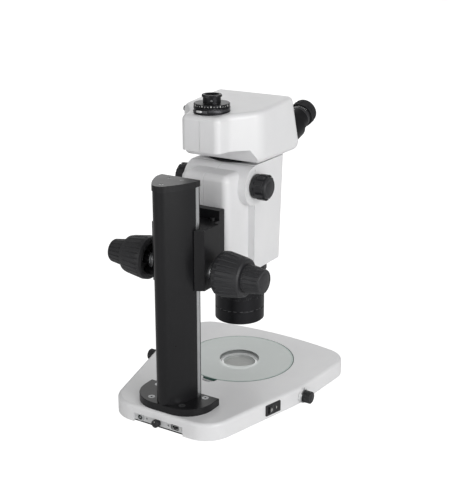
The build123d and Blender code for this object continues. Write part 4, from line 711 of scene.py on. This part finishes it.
# floor, backdrop, lamps and camera
studio = {"floorHalf": 6.0, "floorWhite": (0.90, 0.90, 0.90), "cameraWhite": 0.80, "glow": 1.3,
          "world": 0.39, "aim": (0, 0.04, 0.16)}
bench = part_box("rubber_feet")[0][2]
floorMesh = bpy.data.meshes.new("floor")
half = studio["floorHalf"]
floorCorners = [(x * half, y * half, bench) for x, y in ((-1, -1), (1, -1), (1, 1), (-1, 1))]
floorMesh.from_pydata(floorCorners, [], [(0, 1, 2, 3)])
floor = bpy.data.objects.new("floor", floorMesh)
bpy.context.scene.collection.objects.link(floor)
floorFinish = Finish("floorWhite", Roughness=0.9)
floorFinish.set(Base_Color=(*studio["floorWhite"], 1))
rays = floorFinish.tree.nodes.new("ShaderNodeLightPath")
seen = Wire(floorFinish, rays.outputs["Is Camera Ray"])
glow = floorFinish.node("ShaderNodeEmission", {}, {"Color": (1, 1, 1, 1), "Strength": studio["glow"]})
plain = Wire(floorFinish, floorFinish.shader.outputs[0])
both = floorFinish.node("ShaderNodeMixShader", {}, {0: seen * studio["cameraWhite"], 1: plain, 2: glow})
floorFinish.tree.links.new(both.socket, floorFinish.tree.nodes["Material Output"].inputs["Surface"])
floorMesh.materials.append(floorFinish.material)

world = bpy.data.worlds.new("studio")
bpy.context.scene.world = world
world.use_nodes = True
tree = world.node_tree
tree.nodes.clear()
rays = tree.nodes.new("ShaderNodeLightPath")
choice = tree.nodes.new("ShaderNodeMixShader")
final = tree.nodes.new("ShaderNodeOutputWorld")
tree.links.new(rays.outputs["Is Camera Ray"], choice.inputs[0])
# the object is lit by a dim world, and the camera sees a white one
for entry, strength in ((1, studio["world"]), (2, 1.0)):
    sky = tree.nodes.new("ShaderNodeBackground")
    sky.inputs["Color"].default_value = (1, 1, 1, 1)
    sky.inputs["Strength"].default_value = strength
    tree.links.new(sky.outputs[0], choice.inputs[entry])
tree.links.new(choice.outputs[0], final.inputs["Surface"])

lamps = {
    "keyLamp": {"place": (-2.0, 0.8, 0.75), "size": 1.3, "power": 25},
    "fillLamp": {"place": (0.3, 2.3, 0.7), "size": 1.6, "power": 10},
    "frontLamp": {"place": (0.9, -1.8, 1.1), "size": 1.6, "power": 8},
}
for lampName, lamp in lamps.items():
    light = bpy.data.lights.new(lampName, "AREA")
    light.size = lamp["size"]
    light.energy = lamp["power"]
    stand = bpy.data.objects.new(lampName, light)
    stand.location = lamp["place"]
    aim = Vector(studio["aim"]) - Vector(lamp["place"])
    stand.rotation_euler = aim.to_track_quat("-Z", "Y").to_euler()
    bpy.context.scene.collection.objects.link(stand)

lensView = {"place": (-0.65239, 1.08007, 0.58383), "azimuth": 212.038, "elevation": 18.77, "lens": 71.5}
cameraData = bpy.data.cameras.new("camera")
cameraData.lens = lensView["lens"]
cameraData.sensor_width = 36
cameraData.clip_start = 0.05
camera = bpy.data.objects.new("camera", cameraData)
bpy.context.scene.collection.objects.link(camera)
turn, rise = math.radians(lensView["azimuth"]), math.radians(lensView["elevation"])
# the gaze points along (-sin turn cos rise, cos turn cos rise, -sin rise)
gaze = Vector((-math.sin(turn) * math.cos(rise), math.cos(turn) * math.cos(rise), -math.sin(rise)))
camera.location = lensView["place"]
camera.rotation_euler = gaze.to_track_quat("-Z", "Y").to_euler()
bpy.context.scene.camera = camera
bpy.context.scene.view_settings.view_transform = "Standard"
print("stage, lamps and camera set")

bpy.context.view_layer.update()
